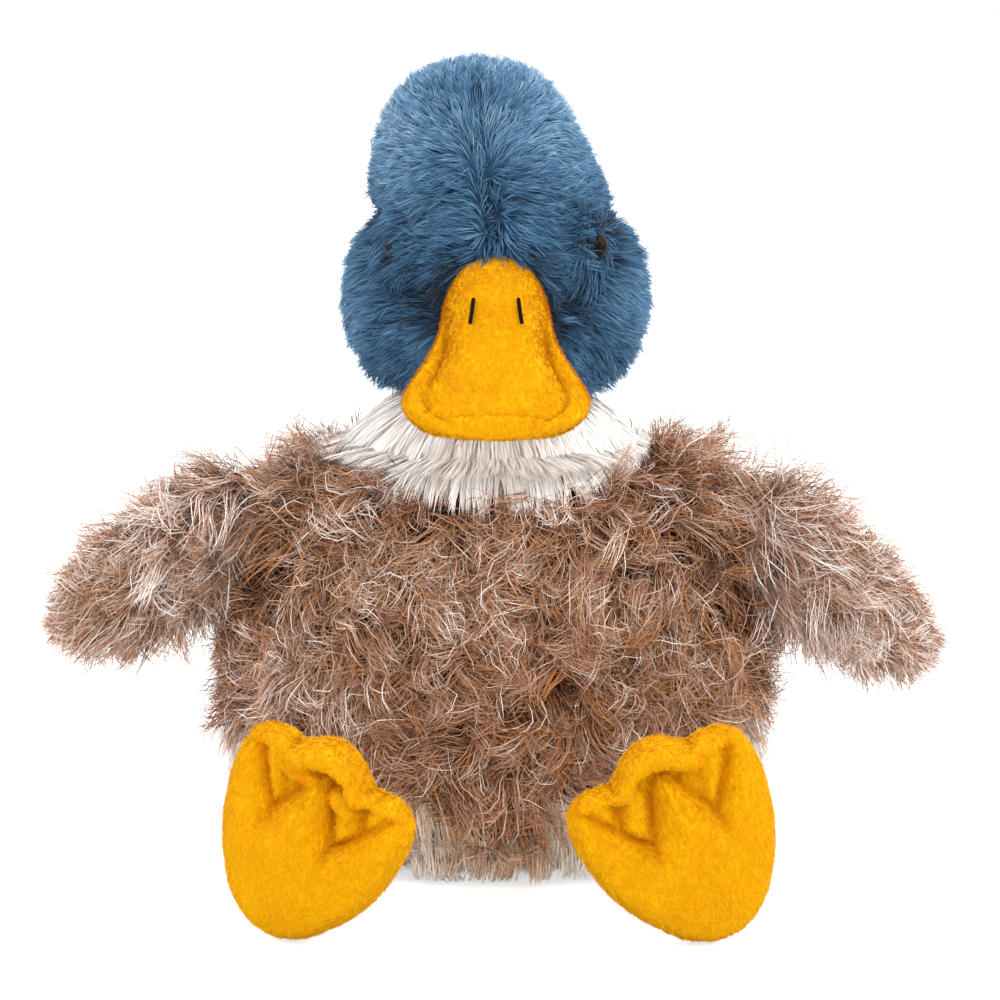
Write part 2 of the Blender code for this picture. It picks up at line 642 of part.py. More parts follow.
def build_bill(duck, velboa, filling, thread, outside):
    place = bill_matrix()
    core = bill_form(VELBOA_CLOTH, BILL_CORE_COLUMNS)
    core.transform(place)
    hollow = duck.cutter("bill_hollow", core)
    covers = two_panels(duck, ("bill_upper_panel", "bill_lower_panel"), bill_form,
                        lambda bm: bm.transform(place), velboa, hollow, "head_nod")
    core = bill_form(VELBOA_CLOTH + BILL_FILLING_EASE, BILL_CORE_COLUMNS)
    core.transform(place)
    stuffing = duck.piece("bill_stuffing", core, filling, "head_nod")
    for thing in (*covers, stuffing):
        boolean(thing, outside)
    turn = math.acos(STITCH_SPREAD_SHARE)
    for side_name, side in SIDES:
        points = []
        for step in range(STITCH_POINTS):
            part = step / (STITCH_POINTS - 1)
            along = STITCH_FROM_SHARE + (STITCH_TO_SHARE - STITCH_FROM_SHARE) * part
            point = bill_point(along, turn) + Vector((0.0, STITCH_RISE, 0.0))
            point.x *= side
            points.append(place @ point)
        name = f"nostril_stitch_{side_name}"
        stitch = tube(name, points, STITCH_RADIUS, duck.parts, thread)
        duck.hang(stitch, "head_nod")
        groove = tube(name + "_groove", points, STITCH_RADIUS + SEAM_GAP, duck.cutters)
        boolean(covers[0], as_cutter(groove))


def build_wing(duck, side_name, side, hang, coat, filling, body_cloths):
    droop, sag = hang
    heights = [share * NECK_SEAT_HEIGHT for share in (WING_ROOT_TOP_SHARE, WING_ROOT_BOTTOM_SHARE)]
    top, bottom = (Vector((side * (body_halves_at(height)[0] + WING_STAND_OFF), 0.0, height))
                   for height in heights)
    centre, chord = (top + bottom) / 2, (top - bottom).normalized()
    root_half = (top - bottom).length / 2
    span = Vector((side * math.cos(droop) * math.cos(WING_SWEEP), -math.sin(WING_SWEEP),
                   -math.sin(droop) * math.cos(WING_SWEEP)))
    forward = Vector((-side * math.sin(WING_SWEEP), -math.cos(WING_SWEEP), 0.0))
    joint_name = f"wing_{side_name}_swing"
    duck.joint(joint_name, centre)

    def place(bm):
        for vert in bm.verts:
            part = max(0.0, vert.co.z - ALLOWANCE_LENGTH) / (WING_LENGTH - ALLOWANCE_LENGTH)
            vert.co.x -= sag * math.sin(math.pi * min(1.0, part))
        bm.transform(directions(chord, forward, span, centre))
        return bm

    def rows(inset=0.0):
        return swell_rows(WING_LENGTH_SHARES, WING_WIDTH_SHARES, WING_THICKNESS_SHARES,
                          WING_LENGTH, WING_WIDTH / 2, WING_THICKNESS / 2, inset)

    hollow = duck.cutter(f"wing_{side_name}_hollow", place(limb_form(rows(WING_CLOTH))))
    two_panels(duck, (f"wing_{side_name}_front_panel", f"wing_{side_name}_back_panel"),
               lambda: limb_form(bead_rows(root_half) + rows()), place, coat, hollow, joint_name)
    duck.piece(f"wing_{side_name}_stuffing", place(limb_form(rows(WING_CLOTH + FILLING_EASE))),
               filling, joint_name)
    groove = bead_bar(f"wing_{side_name}_groove", duck, centre, chord, root_half)
    for shell in body_cloths:
        boolean(shell, groove)


def leg_rows(inset=0.0):
    rows = swell_rows(LEG_LENGTH_SHARES, LEG_THICKNESS_SHARES, LEG_THICKNESS_SHARES,
                      LEG_LENGTH + inset, LEG_THICKNESS / 2, LEG_THICKNESS / 2, inset)
    end = ANKLE_RADIUS - inset
    for degrees in (0, 25, 50, 72, 90):
        turn = math.radians(degrees)
        girth = end * math.cos(turn) if degrees < 90 else 0.0
        rows.append((LEG_LENGTH + end * math.sin(turn), girth, girth))
    return rows


def foot_point(place, turn, inset=0.0):
    """A webbed cushion: toes up, sole at -Y, three toe ridges fanning from the heel."""
    column = (turn / (2 * math.pi)) % 1.0 * len(FOOT_OUTLINE_SHARES)
    first = int(column) % len(FOOT_OUTLINE_SHARES)
    second = (first + 1) % len(FOOT_OUTLINE_SHARES)
    part = column - int(column)
    outline = FOOT_OUTLINE_SHARES[first] * (1 - part) + FOOT_OUTLINE_SHARES[second] * part
    spread = math.sin(math.pi * place)
    x = outline * spread * math.cos(turn) * (FOOT_WIDTH / 2 - inset)
    z = outline * spread * math.sin(turn) * (FOOT_HEIGHT / 2 - inset)
    swell = math.sqrt(max(0.0, 1.0 - spread ** FOOT_EDGE_POWER))
    ridge = 0.0
    for toe in TOE_TURNS:
        lift = z + TOE_ROOT_DROP_SHARE * FOOT_HEIGHT / 2
        along = max(0.0, x * math.cos(toe) + lift * math.sin(toe))
        off = math.hypot(x - along * math.cos(toe), lift - along * math.sin(toe))
        ridge = max(ridge, math.exp(-(off / TOE_RIDGE_WIDTH) ** 2))
    swell *= 1.0 - TOE_RIDGE_SHARE * (1.0 - ridge) * spread
    away = 1.0 if place < 0.5 else -1.0
    return Vector((x, away * swell * (FOOT_THICKNESS / 2 - inset), z))


def foot_form(inset=0.0, columns=FOOT_COLUMNS, rings=FOOT_RINGS):
    return loft(lambda place, turn: foot_point(place, turn, inset), columns, rings)


def build_leg(duck, side_name, side, turns, velboa, filling, under):
    splay, foot_turn = turns
    wide, deep = body_halves_at(HIP_HEIGHT)
    forward = deep * math.sqrt(1.0 - (HIP_OUT / wide) ** 2)
    outward = Vector((HIP_OUT / wide ** 2, -forward / deep ** 2, 0.0)).normalized()
    centre = Vector((HIP_OUT, -forward, HIP_HEIGHT)) + outward * BEAD_STAND_OFF
    chord = Vector((-outward.y, outward.x, 0.0))
    span = Vector((math.sin(splay), -math.cos(splay), 0.0))
    for way in (centre, chord, span):
        way.x *= side
    hip, ankle = f"leg_{side_name}_swing", f"foot_{side_name}_flex"
    duck.joint(hip, centre)
    place = directions(chord, UP, span, centre)

    def placed(bm):
        bm.transform(place)
        return bm

    hollow = duck.cutter(f"leg_{side_name}_hollow", placed(limb_form(leg_rows(VELBOA_CLOTH))))
    two_panels(duck, (f"leg_{side_name}_top_panel", f"leg_{side_name}_under_panel"),
               lambda: limb_form(bead_rows(HIP_WIDTH / 2) + leg_rows()), placed, velboa, hollow, hip)
    duck.piece(f"leg_{side_name}_stuffing", placed(limb_form(leg_rows(VELBOA_CLOTH + FILLING_EASE))),
               filling, hip)
    boolean(under, bead_bar(f"leg_{side_name}_groove", duck, centre, chord, HIP_WIDTH / 2))

    pivot = centre + span * LEG_LENGTH
    duck.joint(ankle, pivot, hip)
    turn = Matrix.Rotation(side * foot_turn, 4, 'Z')
    sole_way = turn @ Vector((0.0, -1.0, 0.0))
    middle = pivot + sole_way * (ANKLE_RADIUS - ANKLE_SEAT_DEPTH + FOOT_THICKNESS / 2)
    whole = foot_form()
    middle.z = -FLOOR_FLAT - min(vert.co.z for vert in whole.verts)
    whole.free()
    mirror = Matrix.Diagonal((side, 1.0, 1.0, 1.0))

    def stand(bm):
        bm.transform(Matrix.Translation(middle) @ turn @ mirror)
        return trim(bm, Vector(), -UP)

    hollow = duck.cutter(f"foot_{side_name}_hollow",
                         stand(foot_form(VELBOA_CLOTH, LIMB_COLUMNS, FOOT_RINGS - 2)))
    shells = two_panels(duck, (f"foot_{side_name}_top_panel", f"foot_{side_name}_sole_panel"),
                        foot_form, stand, velboa, hollow, ankle)
    stuffing = duck.piece(f"foot_{side_name}_stuffing",
                          stand(foot_form(VELBOA_CLOTH + FILLING_EASE, LIMB_COLUMNS, FOOT_RINGS - 2)),
                          filling, ankle)
    bm = bmesh.new()
    bmesh.ops.create_uvsphere(bm, u_segments=ROUND_STEPS, v_segments=ROUND_STEPS // 2,
                              radius=ANKLE_RADIUS + TURNING_PLAY)
    bm.transform(Matrix.Translation(pivot))
    seat = duck.cutter(f"ankle_{side_name}_seat", bm)
    for thing in (shells[0], stuffing):
        boolean(thing, seat)


def build_tail(duck, coat, filling, back):
    wide, deep = body_halves_at(TAIL_ROOT_HEIGHT)
    centre = Vector((0.0, deep + BEAD_STAND_OFF, TAIL_ROOT_HEIGHT))
    across = Vector((1.0, 0.0, 0.0))
    span = Vector((0.0, math.cos(TAIL_RISE), math.sin(TAIL_RISE)))
    duck.joint("tail_tip", centre)
    place = directions(-across, span.cross(-across), span, centre)

    def placed(bm):
        bm.transform(place)
        return bm

    def rows(inset=0.0):
        return swell_rows(TAIL_LENGTH_SHARES, TAIL_WIDTH_SHARES, TAIL_THICKNESS_SHARES,
                          TAIL_LENGTH, TAIL_WIDTH / 2, TAIL_THICKNESS / 2, inset)

    hollow = duck.cutter("tail_hollow", placed(limb_form(rows(TAIL_CLOTH))))
    two_panels(duck, ("tail_top_panel", "tail_under_panel"),
               lambda: limb_form(bead_rows(TAIL_ROOT_WIDTH / 2) + rows()), placed, coat, hollow,
               "tail_tip")
    duck.piece("tail_stuffing", placed(limb_form(rows(TAIL_CLOTH + FILLING_EASE))), filling, "tail_tip")
    boolean(back, bead_bar("tail_groove", duck, centre, across, TAIL_ROOT_WIDTH / 2))


def build_duck():
    duck = Duck()
    coat = cloth("shaggy brown coat", (0.42, 0.29, 0.22))
    underside = cloth("cream long fur", (0.78, 0.68, 0.58))
    collar_fur = cloth("white long fur", (0.84, 0.79, 0.74))
    blue = cloth("blue plush", (0.065, 0.155, 0.27))
    velboa = cloth("golden velboa", (0.93, 0.47, 0.01))
    thread = cloth("dark brown thread", (0.035, 0.012, 0.006), 0.6)
    black = cloth("black eye", (0.005, 0.005, 0.005), 0.12)
    washer_plastic = cloth("washer plastic", (0.8, 0.8, 0.78), 0.4)
    filling = cloth("polyester filling", (0.9, 0.9, 0.88))
    pellets = cloth("pellet bag cloth", (0.75, 0.75, 0.72))

    coats, under = build_body(duck, coat, underside, filling, pellets)
    build_neck(duck, collar_fur, filling)
    halves, stuffing, cheeks, outside = build_head(duck, blue, filling)
    cloths = {side_name: (halves[index], stuffing, cheeks[index])
              for index, (side_name, _) in enumerate(SIDES)}
    build_eyes(duck, black, washer_plastic, cloths)
    build_bill(duck, velboa, filling, thread, outside)
    hangs, turns = zip(WING_DROOPS, WING_SAGS), zip(LEG_SPLAYS, FOOT_TURNS)
    for (side_name, side), hang, leg_turns in zip(SIDES, hangs, turns):
        build_wing(duck, side_name, side, hang, coat, filling, coats)
        build_leg(duck, side_name, side, leg_turns, velboa, filling, under)
    build_tail(duck, coat, filling, coats[1])


build_duck()
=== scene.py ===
import json
import math

import bmesh
import bpy
import numpy as np
from mathutils import Matrix, Vector
from mathutils.bvhtree import BVHTree
from mathutils.kdtree import KDTree


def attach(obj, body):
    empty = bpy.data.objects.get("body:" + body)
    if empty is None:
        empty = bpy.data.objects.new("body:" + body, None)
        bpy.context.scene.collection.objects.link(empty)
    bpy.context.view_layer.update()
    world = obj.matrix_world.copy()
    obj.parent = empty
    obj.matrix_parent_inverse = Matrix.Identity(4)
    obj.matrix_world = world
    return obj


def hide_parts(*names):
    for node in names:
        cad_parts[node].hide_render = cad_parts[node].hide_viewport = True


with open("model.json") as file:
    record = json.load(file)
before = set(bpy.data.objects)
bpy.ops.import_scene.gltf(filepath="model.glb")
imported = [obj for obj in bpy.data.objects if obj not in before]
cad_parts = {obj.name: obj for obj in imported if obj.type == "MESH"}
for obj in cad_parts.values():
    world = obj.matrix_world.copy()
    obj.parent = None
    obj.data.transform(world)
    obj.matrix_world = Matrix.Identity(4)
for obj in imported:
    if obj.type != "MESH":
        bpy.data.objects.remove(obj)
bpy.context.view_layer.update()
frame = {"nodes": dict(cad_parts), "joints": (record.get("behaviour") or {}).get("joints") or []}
nodes = frame["nodes"]
jointPlaces = {joint["name"]: joint["pos_m"] for joint in frame["joints"]}


def srgb(red, green, blue):  # screen colour 0-255 to the linear values a shader takes
    shares = [value / 255 for value in (red, green, blue)]
    linear = [s / 12.92 if s <= 0.04045 else ((s + 0.055) / 1.055) ** 2.4 for s in shares]
    return (*linear, 1.0)


def unit(rows):
    return rows / np.maximum(np.linalg.norm(rows, axis=-1, keepdims=True), 1e-9)


def along(rows, ways):
    return np.sum(rows * ways, axis=-1, keepdims=True)


def smoothStep(low, high, values):
    part = np.clip((values - low) / (high - low), 0.0, 1.0)
    return part * part * (3 - 2 * part)


def readShares(shares, places):  # evenly spaced shares read on a smooth curve
    table = np.concatenate(([shares[0]], shares, [shares[-1]]))
    span = np.clip(places, 0.0, 1.0) * (len(shares) - 1)
    index = np.minimum(span.astype(int), len(shares) - 2)
    part = span - index
    before, here, there, after = (table[index + step] for step in range(4))
    slopeHere, slopeThere = (there - before) / 2, (after - here) / 2
    square, cube = part ** 2, part ** 3
    return ((2 * cube - 3 * square + 1) * here + (cube - 2 * square + part) * slopeHere
            + (3 * square - 2 * cube) * there + (cube - square) * slopeThere)


def ripple(points, scale, seed):  # slow wandering numbers over space, about -1 to 1
    rng = np.random.default_rng(seed)
    total = np.zeros(len(points))
    for _ in range(5):
        total += np.sin(points @ rng.normal(0, 1 / scale, 3) + rng.uniform(0, 6.28))
    return total / 2.5


def tilted(combs, normals, angle):  # combed directions turned about the normals
    combs = unit(combs - normals * along(combs, normals))
    sides = np.cross(normals, combs)
    return combs * np.cos(angle)[:, None] + sides * np.sin(angle)[:, None]


def newTree(name):
    material = bpy.data.materials.new(name)
    material.use_nodes = True
    tree = material.node_tree
    return material, tree, tree.nodes["Principled BSDF"]


def addNode(tree, kind, **inputs):
    node = tree.nodes.new(kind)
    for key, value in inputs.items():
        node.inputs[key].default_value = value
    return node


def ramp(tree, factor, stops):
    node = tree.nodes.new("ShaderNodeValToRGB")
    elements = node.color_ramp.elements
    while len(elements) < len(stops):
        elements.new(0.5)
    for element, (place, colour) in zip(elements, stops):
        element.position = place
        element.color = colour
    tree.links.new(factor, node.inputs["Fac"])
    return node.outputs["Color"]


def multiply(tree, first, second):
    node = tree.nodes.new("ShaderNodeMix")
    node.data_type = "RGBA"
    node.blend_type = "MULTIPLY"
    node.inputs["Factor"].default_value = 1.0
    tree.links.new(first, node.inputs[6])
    tree.links.new(second, node.inputs[7])
    return node.outputs[2]


def strandGroup():  # a strand's own tint number, and the place along it
    group = bpy.data.node_groups.new("strandPlace", "ShaderNodeTree")
    for name in ("Tint", "Along"):
        group.interface.new_socket(name, in_out="OUTPUT", socket_type="NodeSocketFloat")
    uvNode = group.nodes.new("ShaderNodeUVMap")
    uvNode.uv_map = "OFBake"
    split = group.nodes.new("ShaderNodeSeparateXYZ")
    end = group.nodes.new("NodeGroupOutput")
    group.links.new(uvNode.outputs["UV"], split.inputs["Vector"])
    group.links.new(split.outputs["X"], end.inputs["Tint"])
    group.links.new(split.outputs["Y"], end.inputs["Along"])
    return group


strandPlace = strandGroup()


def furMaterial(name, tints, lengthwise, roughness=0.6, specular=0.3):
    material, tree, shader = newTree(name)
    place = tree.nodes.new("ShaderNodeGroup")
    place.node_tree = strandPlace
    colour = ramp(tree, place.outputs["Tint"], tints)
    # painted shade: the lengthwise ramp darkens each strand towards its root and lightens the tips
    shade = ramp(tree, place.outputs["Along"], lengthwise)
    tree.links.new(multiply(tree, colour, shade), shader.inputs["Base Color"])
    shader.inputs["Roughness"].default_value = roughness
    shader.inputs["Specular IOR Level"].default_value = specular
    return material


def clothMaterial(name, dark, light, grain=600.0, nap=0.0006):  # backing cloth, mottled, with a nap
    material, tree, shader = newTree(name)
    place = tree.nodes.new("ShaderNodeTexCoord")
    coarse = addNode(tree, "ShaderNodeTexNoise", Scale=grain / 8, Detail=3.0)
    fine = addNode(tree, "ShaderNodeTexNoise", Scale=grain, Detail=4.0, Roughness=0.6)
    for noise in (coarse, fine):
        tree.links.new(place.outputs["Object"], noise.inputs["Vector"])
    mottle = ramp(tree, coarse.outputs["Fac"], [(0.3, dark), (0.7, light)])
    shade = ramp(tree, fine.outputs["Fac"],
                 [(0.3, (0.75, 0.75, 0.75, 1)), (0.65, (1.08, 1.08, 1.08, 1))])
    tree.links.new(multiply(tree, mottle, shade), shader.inputs["Base Color"])
    lift = addNode(tree, "ShaderNodeBump", Strength=0.4, Distance=nap)
    tree.links.new(fine.outputs["Fac"], lift.inputs["Height"])
    tree.links.new(lift.outputs["Normal"], shader.inputs["Normal"])
    shader.inputs["Roughness"].default_value = 0.95
    shader.inputs["Specular IOR Level"].default_value = 0.1
    return material


def plainMaterial(name, colour, other, roughness, scale=200.0, specular=0.4, coat=0.0):
    material, tree, shader = newTree(name)
    place = tree.nodes.new("ShaderNodeTexCoord")
    noise = addNode(tree, "ShaderNodeTexNoise", Scale=scale, Detail=3.0)
    tree.links.new(place.outputs["Object"], noise.inputs["Vector"])
    tree.links.new(ramp(tree, noise.outputs["Fac"], [(0.35, colour), (0.65, other)]),
                   shader.inputs["Base Color"])
    shader.inputs["Roughness"].default_value = roughness
    shader.inputs["Specular IOR Level"].default_value = specular
    shader.inputs["Coat Weight"].default_value = coat
    shader.inputs["Coat Roughness"].default_value = 0.05
    return material


def linkPiece(name, mesh, material, body):
    mesh.shade_smooth()
    mesh.materials.append(material)
    piece = bpy.data.objects.new(name, mesh)
    bpy.context.scene.collection.objects.link(piece)
    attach(piece, body)
    return piece


def placeSkin(name, bm, material, body, replaced):
    bmesh.ops.recalc_face_normals(bm, faces=bm.faces)
    if bm.calc_volume(signed=True) < 0:
        bmesh.ops.reverse_faces(bm, faces=bm.faces)
    mesh = bpy.data.meshes.new(name)
    bm.to_mesh(mesh)
    bm.free()
    piece = linkPiece(name, mesh, material, body)
    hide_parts(*replaced)
    return piece


def relax(bm, times):
    for _ in range(times):
        bmesh.ops.smooth_vert(bm, verts=bm.verts, factor=0.5, use_axis_x=True, use_axis_y=True,
                              use_axis_z=True)


def wrapped(names, fineness, inset, times):  # a ball shrunk onto the outer faces of some nodes
    verts, faces = [], []
    for name in names:
        mesh, start = nodes[name].data, len(verts)
        verts += [vert.co.copy() for vert in mesh.vertices]
        faces += [[start + index for index in face.vertices] for face in mesh.polygons]
    tree = BVHTree.FromPolygons(verts, faces)
    rows = np.array(verts)
    low, high = rows.min(axis=0), rows.max(axis=0)
    centre, half = Vector((low + high) / 2), (high - low) / 2
    bm = bmesh.new()
    bmesh.ops.create_icosphere(bm, subdivisions=fineness, radius=1.0)
    for vert in bm.verts:
        way = Vector([part * size for part, size in zip(vert.co, half)]) * 3
        hit = tree.ray_cast(centre + way, -way)[0]
        vert.co = hit if hit else centre + way / 3
    relax(bm, times)
    bm.normal_update()
    moves = [vert.co - vert.normal * inset for vert in bm.verts]
    for vert, place in zip(bm.verts, moves):
        vert.co = place
    return bm


def steadyBall(columns, rows):  # create_uvsphere changes its order between runs, so it is sorted
    start, bm = bmesh.new(), bmesh.new()
    bmesh.ops.create_uvsphere(start, u_segments=columns, v_segments=rows, radius=1.0)
    order = sorted(start.verts, key=lambda vert: tuple(round(part, 5) for part in vert.co))
    place = {vert: index for index, vert in enumerate(order)}
    rings = []
    for face in start.faces:
        ring = [place[vert] for vert in face.verts]
        first = ring.index(min(ring))
        rings.append(ring[first:] + ring[:first])
    verts = [bm.verts.new(vert.co) for vert in order]
    for ring in sorted(rings):
        bm.faces.new([verts[index] for index in ring])
    start.free()
    return bm


def lofted(pointsAt, columns, rows, place):  # a ball whose points go to pointsAt(place along, turn)
    bm = steadyBall(columns, rows)
    sphere = np.array([vert.co for vert in bm.verts])
    places = 1 - np.arccos(np.clip(sphere[:, 2], -1, 1)) / math.pi
    points = pointsAt(places, np.arctan2(sphere[:, 1], sphere[:, 0]))
    for vert, point in zip(bm.verts, points):
        vert.co = place @ Vector(point)
    relax(bm, 1)
    return bm


def strandFaces(knots):  # one flat strand: two columns of vertices that meet in a tip
    bm = bmesh.new()
    bmesh.ops.create_grid(bm, x_segments=1, y_segments=knots - 1, size=1.0)
    top = [vert for vert in bm.verts if vert.co.y > 0.999]
    bmesh.ops.pointmerge(bm, verts=top, merge_co=(0.0, 1.0, 0.0))
    order = sorted(bm.verts, key=lambda vert: (round(vert.co.y, 4), vert.co.x))
    place = {vert: index for index, vert in enumerate(order)}
    faces = [[place[vert] for vert in face.verts] for face in bm.faces]
    bm.free()
    return faces


def strandPiece(name, knots, sides, tints, material, body):
    count, rows = knots.shape[0], knots.shape[1]
    faces = strandFaces(rows)
    perStrand = 2 * rows - 1
    verts = np.empty((count, perStrand, 3), dtype=np.float32)
    verts[:, 0:-1:2] = knots[:, :-1] - sides[:, :-1]
    verts[:, 1:-1:2] = knots[:, :-1] + sides[:, :-1]
    verts[:, -1] = knots[:, -1]
    loops = np.array([index for face in faces for index in face])
    sizes = np.array([len(face) for face in faces])
    allLoops = (loops[None, :] + perStrand * np.arange(count)[:, None]).ravel()
    starts = np.concatenate(([0], np.cumsum(np.tile(sizes, count))[:-1]))
    mesh = bpy.data.meshes.new(name)
    mesh.vertices.add(count * perStrand)
    mesh.vertices.foreach_set("co", verts.ravel())
    mesh.loops.add(len(allLoops))
    mesh.loops.foreach_set("vertex_index", allLoops.astype(np.int32))
    mesh.polygons.add(count * len(sizes))
    mesh.polygons.foreach_set("loop_start", starts.astype(np.int32))
    mesh.update(calc_edges=True)
    lengthwise = np.repeat(np.linspace(0.01, 0.99, rows), 2)[:-1]
    across = np.tile([-0.0005, 0.0005], rows)[:-1]
    across[-1] = 0.0
    uvs = np.empty((count, perStrand, 2), dtype=np.float32)
    uvs[..., 0] = tints[:, None] + across[None, :]
    uvs[..., 1] = lengthwise[None, :]
    layer = mesh.uv_layers.new(name="OFBake")
    layer.data.foreach_set("uv", uvs.reshape(-1, 2)[allLoops].ravel())
    return linkPiece(name, mesh, material, body)


def scatter(piece, count, rng, density=None):  # roots strewn over a skin, with its normals
    mesh = piece.data
    mesh.calc_loop_triangles()
    corners = np.empty(len(mesh.loop_triangles) * 3, dtype=np.int32)
    mesh.loop_triangles.foreach_get("vertices", corners)
    corners = corners.reshape(-1, 3)
    places = np.empty(len(mesh.vertices) * 3)
    mesh.vertices.foreach_get("co", places)
    places = places.reshape(-1, 3)
    facings = np.empty(len(mesh.vertices) * 3)
    mesh.vertices.foreach_get("normal", facings)
    facings = facings.reshape(-1, 3)
    one, two, three = (places[corners[:, index]] for index in range(3))
    areas = np.linalg.norm(np.cross(two - one, three - one), axis=1)
    if density is not None:
        areas = areas * density((one + two + three) / 3)
    picked = rng.choice(len(areas), size=count, p=areas / areas.sum())
    first, second = rng.random(count), rng.random(count)
    over = first + second > 1
    first[over], second[over] = 1 - first[over], 1 - second[over]
    shares = np.stack([1 - first - second, first, second], axis=1)[..., None]
    roots = np.sum(places[corners[picked]] * shares, axis=1)
    normals = unit(np.sum(facings[corners[picked]] * shares, axis=1))
    return roots, normals


varied = {"curl": 0.25, "phase": (3.0, 0.6), "wave": (0.3, 0.2), "lift": (0.25, 0.3),
          "liftRange": (0.15, 2.2), "reachRange": (0.35, 1.5), "risePower": 1.5,
          "widthRange": (0.7, 1.25), "rootWidth": 0.55, "tintShares": (0.8, 1.25), "tableClear": 0.0003}


def groom(name, roots, normals, combs, look, material, body, rng, lengths=1.0, shifts=0.0,
          lifts=1.0, parts=1):  # locks of strands that leave the skin and bend the combed way
    count, rows = len(roots), look["knots"]
    lockCount = max(1, int(count / look["perLock"]))
    guides = rng.choice(count, size=lockCount, replace=False)
    tree = KDTree(lockCount)
    for index, guide in enumerate(guides):
        tree.insert(roots[guide], index)
    tree.balance()
    lockOf = np.array([tree.find(root)[1] for root in roots])
    lockOf[guides] = np.arange(lockCount)

    def perLock(spread, jitter):
        return rng.normal(0.0, spread, lockCount)[lockOf] + rng.normal(0.0, jitter, count)

    combs = unit(combs - normals * along(combs, normals))
    sides = np.cross(normals, combs)
    swirl = perLock(look["swirl"], look["stray"])
    curl = perLock(look["curl"], look["curl"] * varied["curl"])
    phase = perLock(*varied["phase"])
    wave = look["wave"] * (1 + perLock(*varied["wave"]))
    lift = look["lift"] * lifts * np.clip(1 + perLock(*varied["lift"]), *varied["liftRange"])
    reach = look["length"] * lengths * np.clip(1 + perLock(look["uneven"], look["uneven"]),
                                               *varied["reachRange"])
    knots = np.empty((count, rows, 3))
    knots[:, 0] = roots
    for row in range(1, rows):
        part = (row - 0.5) / (rows - 1)
        angle = swirl + curl * part + wave * np.sin(2 * math.pi * look["waves"] * part + phase)
        rise = lift * (1 - part) ** varied["risePower"] + look["tipLift"]
        rise = rise + look["bob"] * np.cos(2 * math.pi * look["waves"] * part + phase)
        way = (combs * np.cos(angle)[:, None] + sides * np.sin(angle)[:, None]
               + normals * rise[:, None])
        way = unit(way) + np.array([0.0, 0.0, -look["sag"] * part])
        knots[:, row] = knots[:, row - 1] + unit(way) * (reach / (rows - 1))[:, None]
    shares = np.linspace(0.0, 1.0, rows)
    knots += look["close"] * shares[None, :, None] * (knots[guides][lockOf] - knots)
    knots[..., 2] = np.maximum(knots[..., 2], varied["tableClear"])  # nothing goes under the table top

    tangents = unit(np.gradient(knots, axis=1))
    facing = np.repeat(normals[:, None], rows, axis=1)
    across = unit(np.cross(tangents, facing))
    upward = np.cross(across, tangents)
    roll = rng.uniform(-look["roll"], look["roll"], count)[:, None, None]
    profile = np.sqrt(np.clip(1 - shares ** 2, 0, 1)) * (
        varied["rootWidth"] + (1 - varied["rootWidth"]) * np.minimum(1, 3 * shares))
    half = look["width"] / 2 * rng.uniform(*varied["widthRange"], count)[:, None, None] * (
        profile[None, :, None])
    breadth = (across * np.cos(roll) + upward * np.sin(roll)) * half
    lockTint, strandTint = (share * look["tintSpread"] for share in varied["tintShares"])
    tints = np.clip(0.5 + perLock(lockTint, strandTint) + shifts, 0.01, 0.99)
    order = np.argsort(roots[:, 0], kind="stable")
    for index, chosen in enumerate(np.array_split(order, parts)):
        label = name if parts == 1 else f"{name}{index + 1}"
        strandPiece(label, knots[chosen], breadth[chosen], tints[chosen], material, body)


def lineDistance(u, w, lines):  # how near the closest line runs, and the depth share there
    nearest, depth = np.full_like(u, 9.0), np.zeros_like(u)
    for line in lines:
        for (u0, w0, d0), (u1, w1, d1) in zip(line, line[1:]):
            du, dw = u1 - u0, w1 - w0
            part = np.clip(((u - u0) * du + (w - w0) * dw) / (du * du + dw * dw), 0, 1)
            off = np.hypot(u - u0 - part * du, w - w0 - part * dw)
            depth = np.where(off < nearest, d0 + (d1 - d0) * part, depth)
            nearest = np.minimum(nearest, off)
    return nearest, depth


def outside(roots, piece):  # how far the roots lie outside another closed skin, or minus that inside
    tree = BVHTree.FromPolygons([vert.co for vert in piece.data.vertices],
                                [face.vertices[:] for face in piece.data.polygons])
    far = 0.02
    gaps = np.full(len(roots), far)
    for index, root in enumerate(roots):
        place, normal, face, gap = tree.find_nearest(root, far)
        if place is not None:
            gaps[index] = math.copysign(gap, (Vector(root) - place).dot(normal))
    return gaps


woolShade = [(0.0, (0.22, 0.15, 0.10, 1)), (0.35, (0.66, 0.55, 0.47, 1)), (0.75, (1.0, 1.0, 1.0, 1)),
             (1.0, (1.15, 1.15, 1.15, 1))]
underWool = furMaterial(
    "underWool",
    [(0.0, srgb(46, 26, 16)), (0.3, srgb(84, 50, 30)), (0.5, srgb(106, 72, 52)),
     (0.75, srgb(144, 92, 50)), (1.0, srgb(158, 118, 92))], woolShade, 0.65, 0.2)
middleWool = furMaterial(
    "middleWool",
    [(0.0, srgb(70, 42, 26)), (0.12, srgb(120, 74, 42)), (0.25, srgb(186, 122, 64)),
     (0.37, srgb(150, 104, 76)), (0.58, srgb(176, 138, 115)), (0.76, srgb(218, 188, 168)),
     (0.88, srgb(246, 230, 220)), (1.0, srgb(255, 250, 247))], woolShade, 0.5, 0.3)
creamFur = furMaterial(
    "creamFur", [(0.0, srgb(204, 166, 130)), (0.35, srgb(232, 208, 184)), (0.65, srgb(250, 242, 233)),
                 (1.0, srgb(255, 253, 250))],
    [(0.0, (0.84, 0.80, 0.76, 1)), (0.4, (0.94, 0.92, 0.90, 1)), (1.0, (1, 1, 1, 1))], 0.6, 0.2)
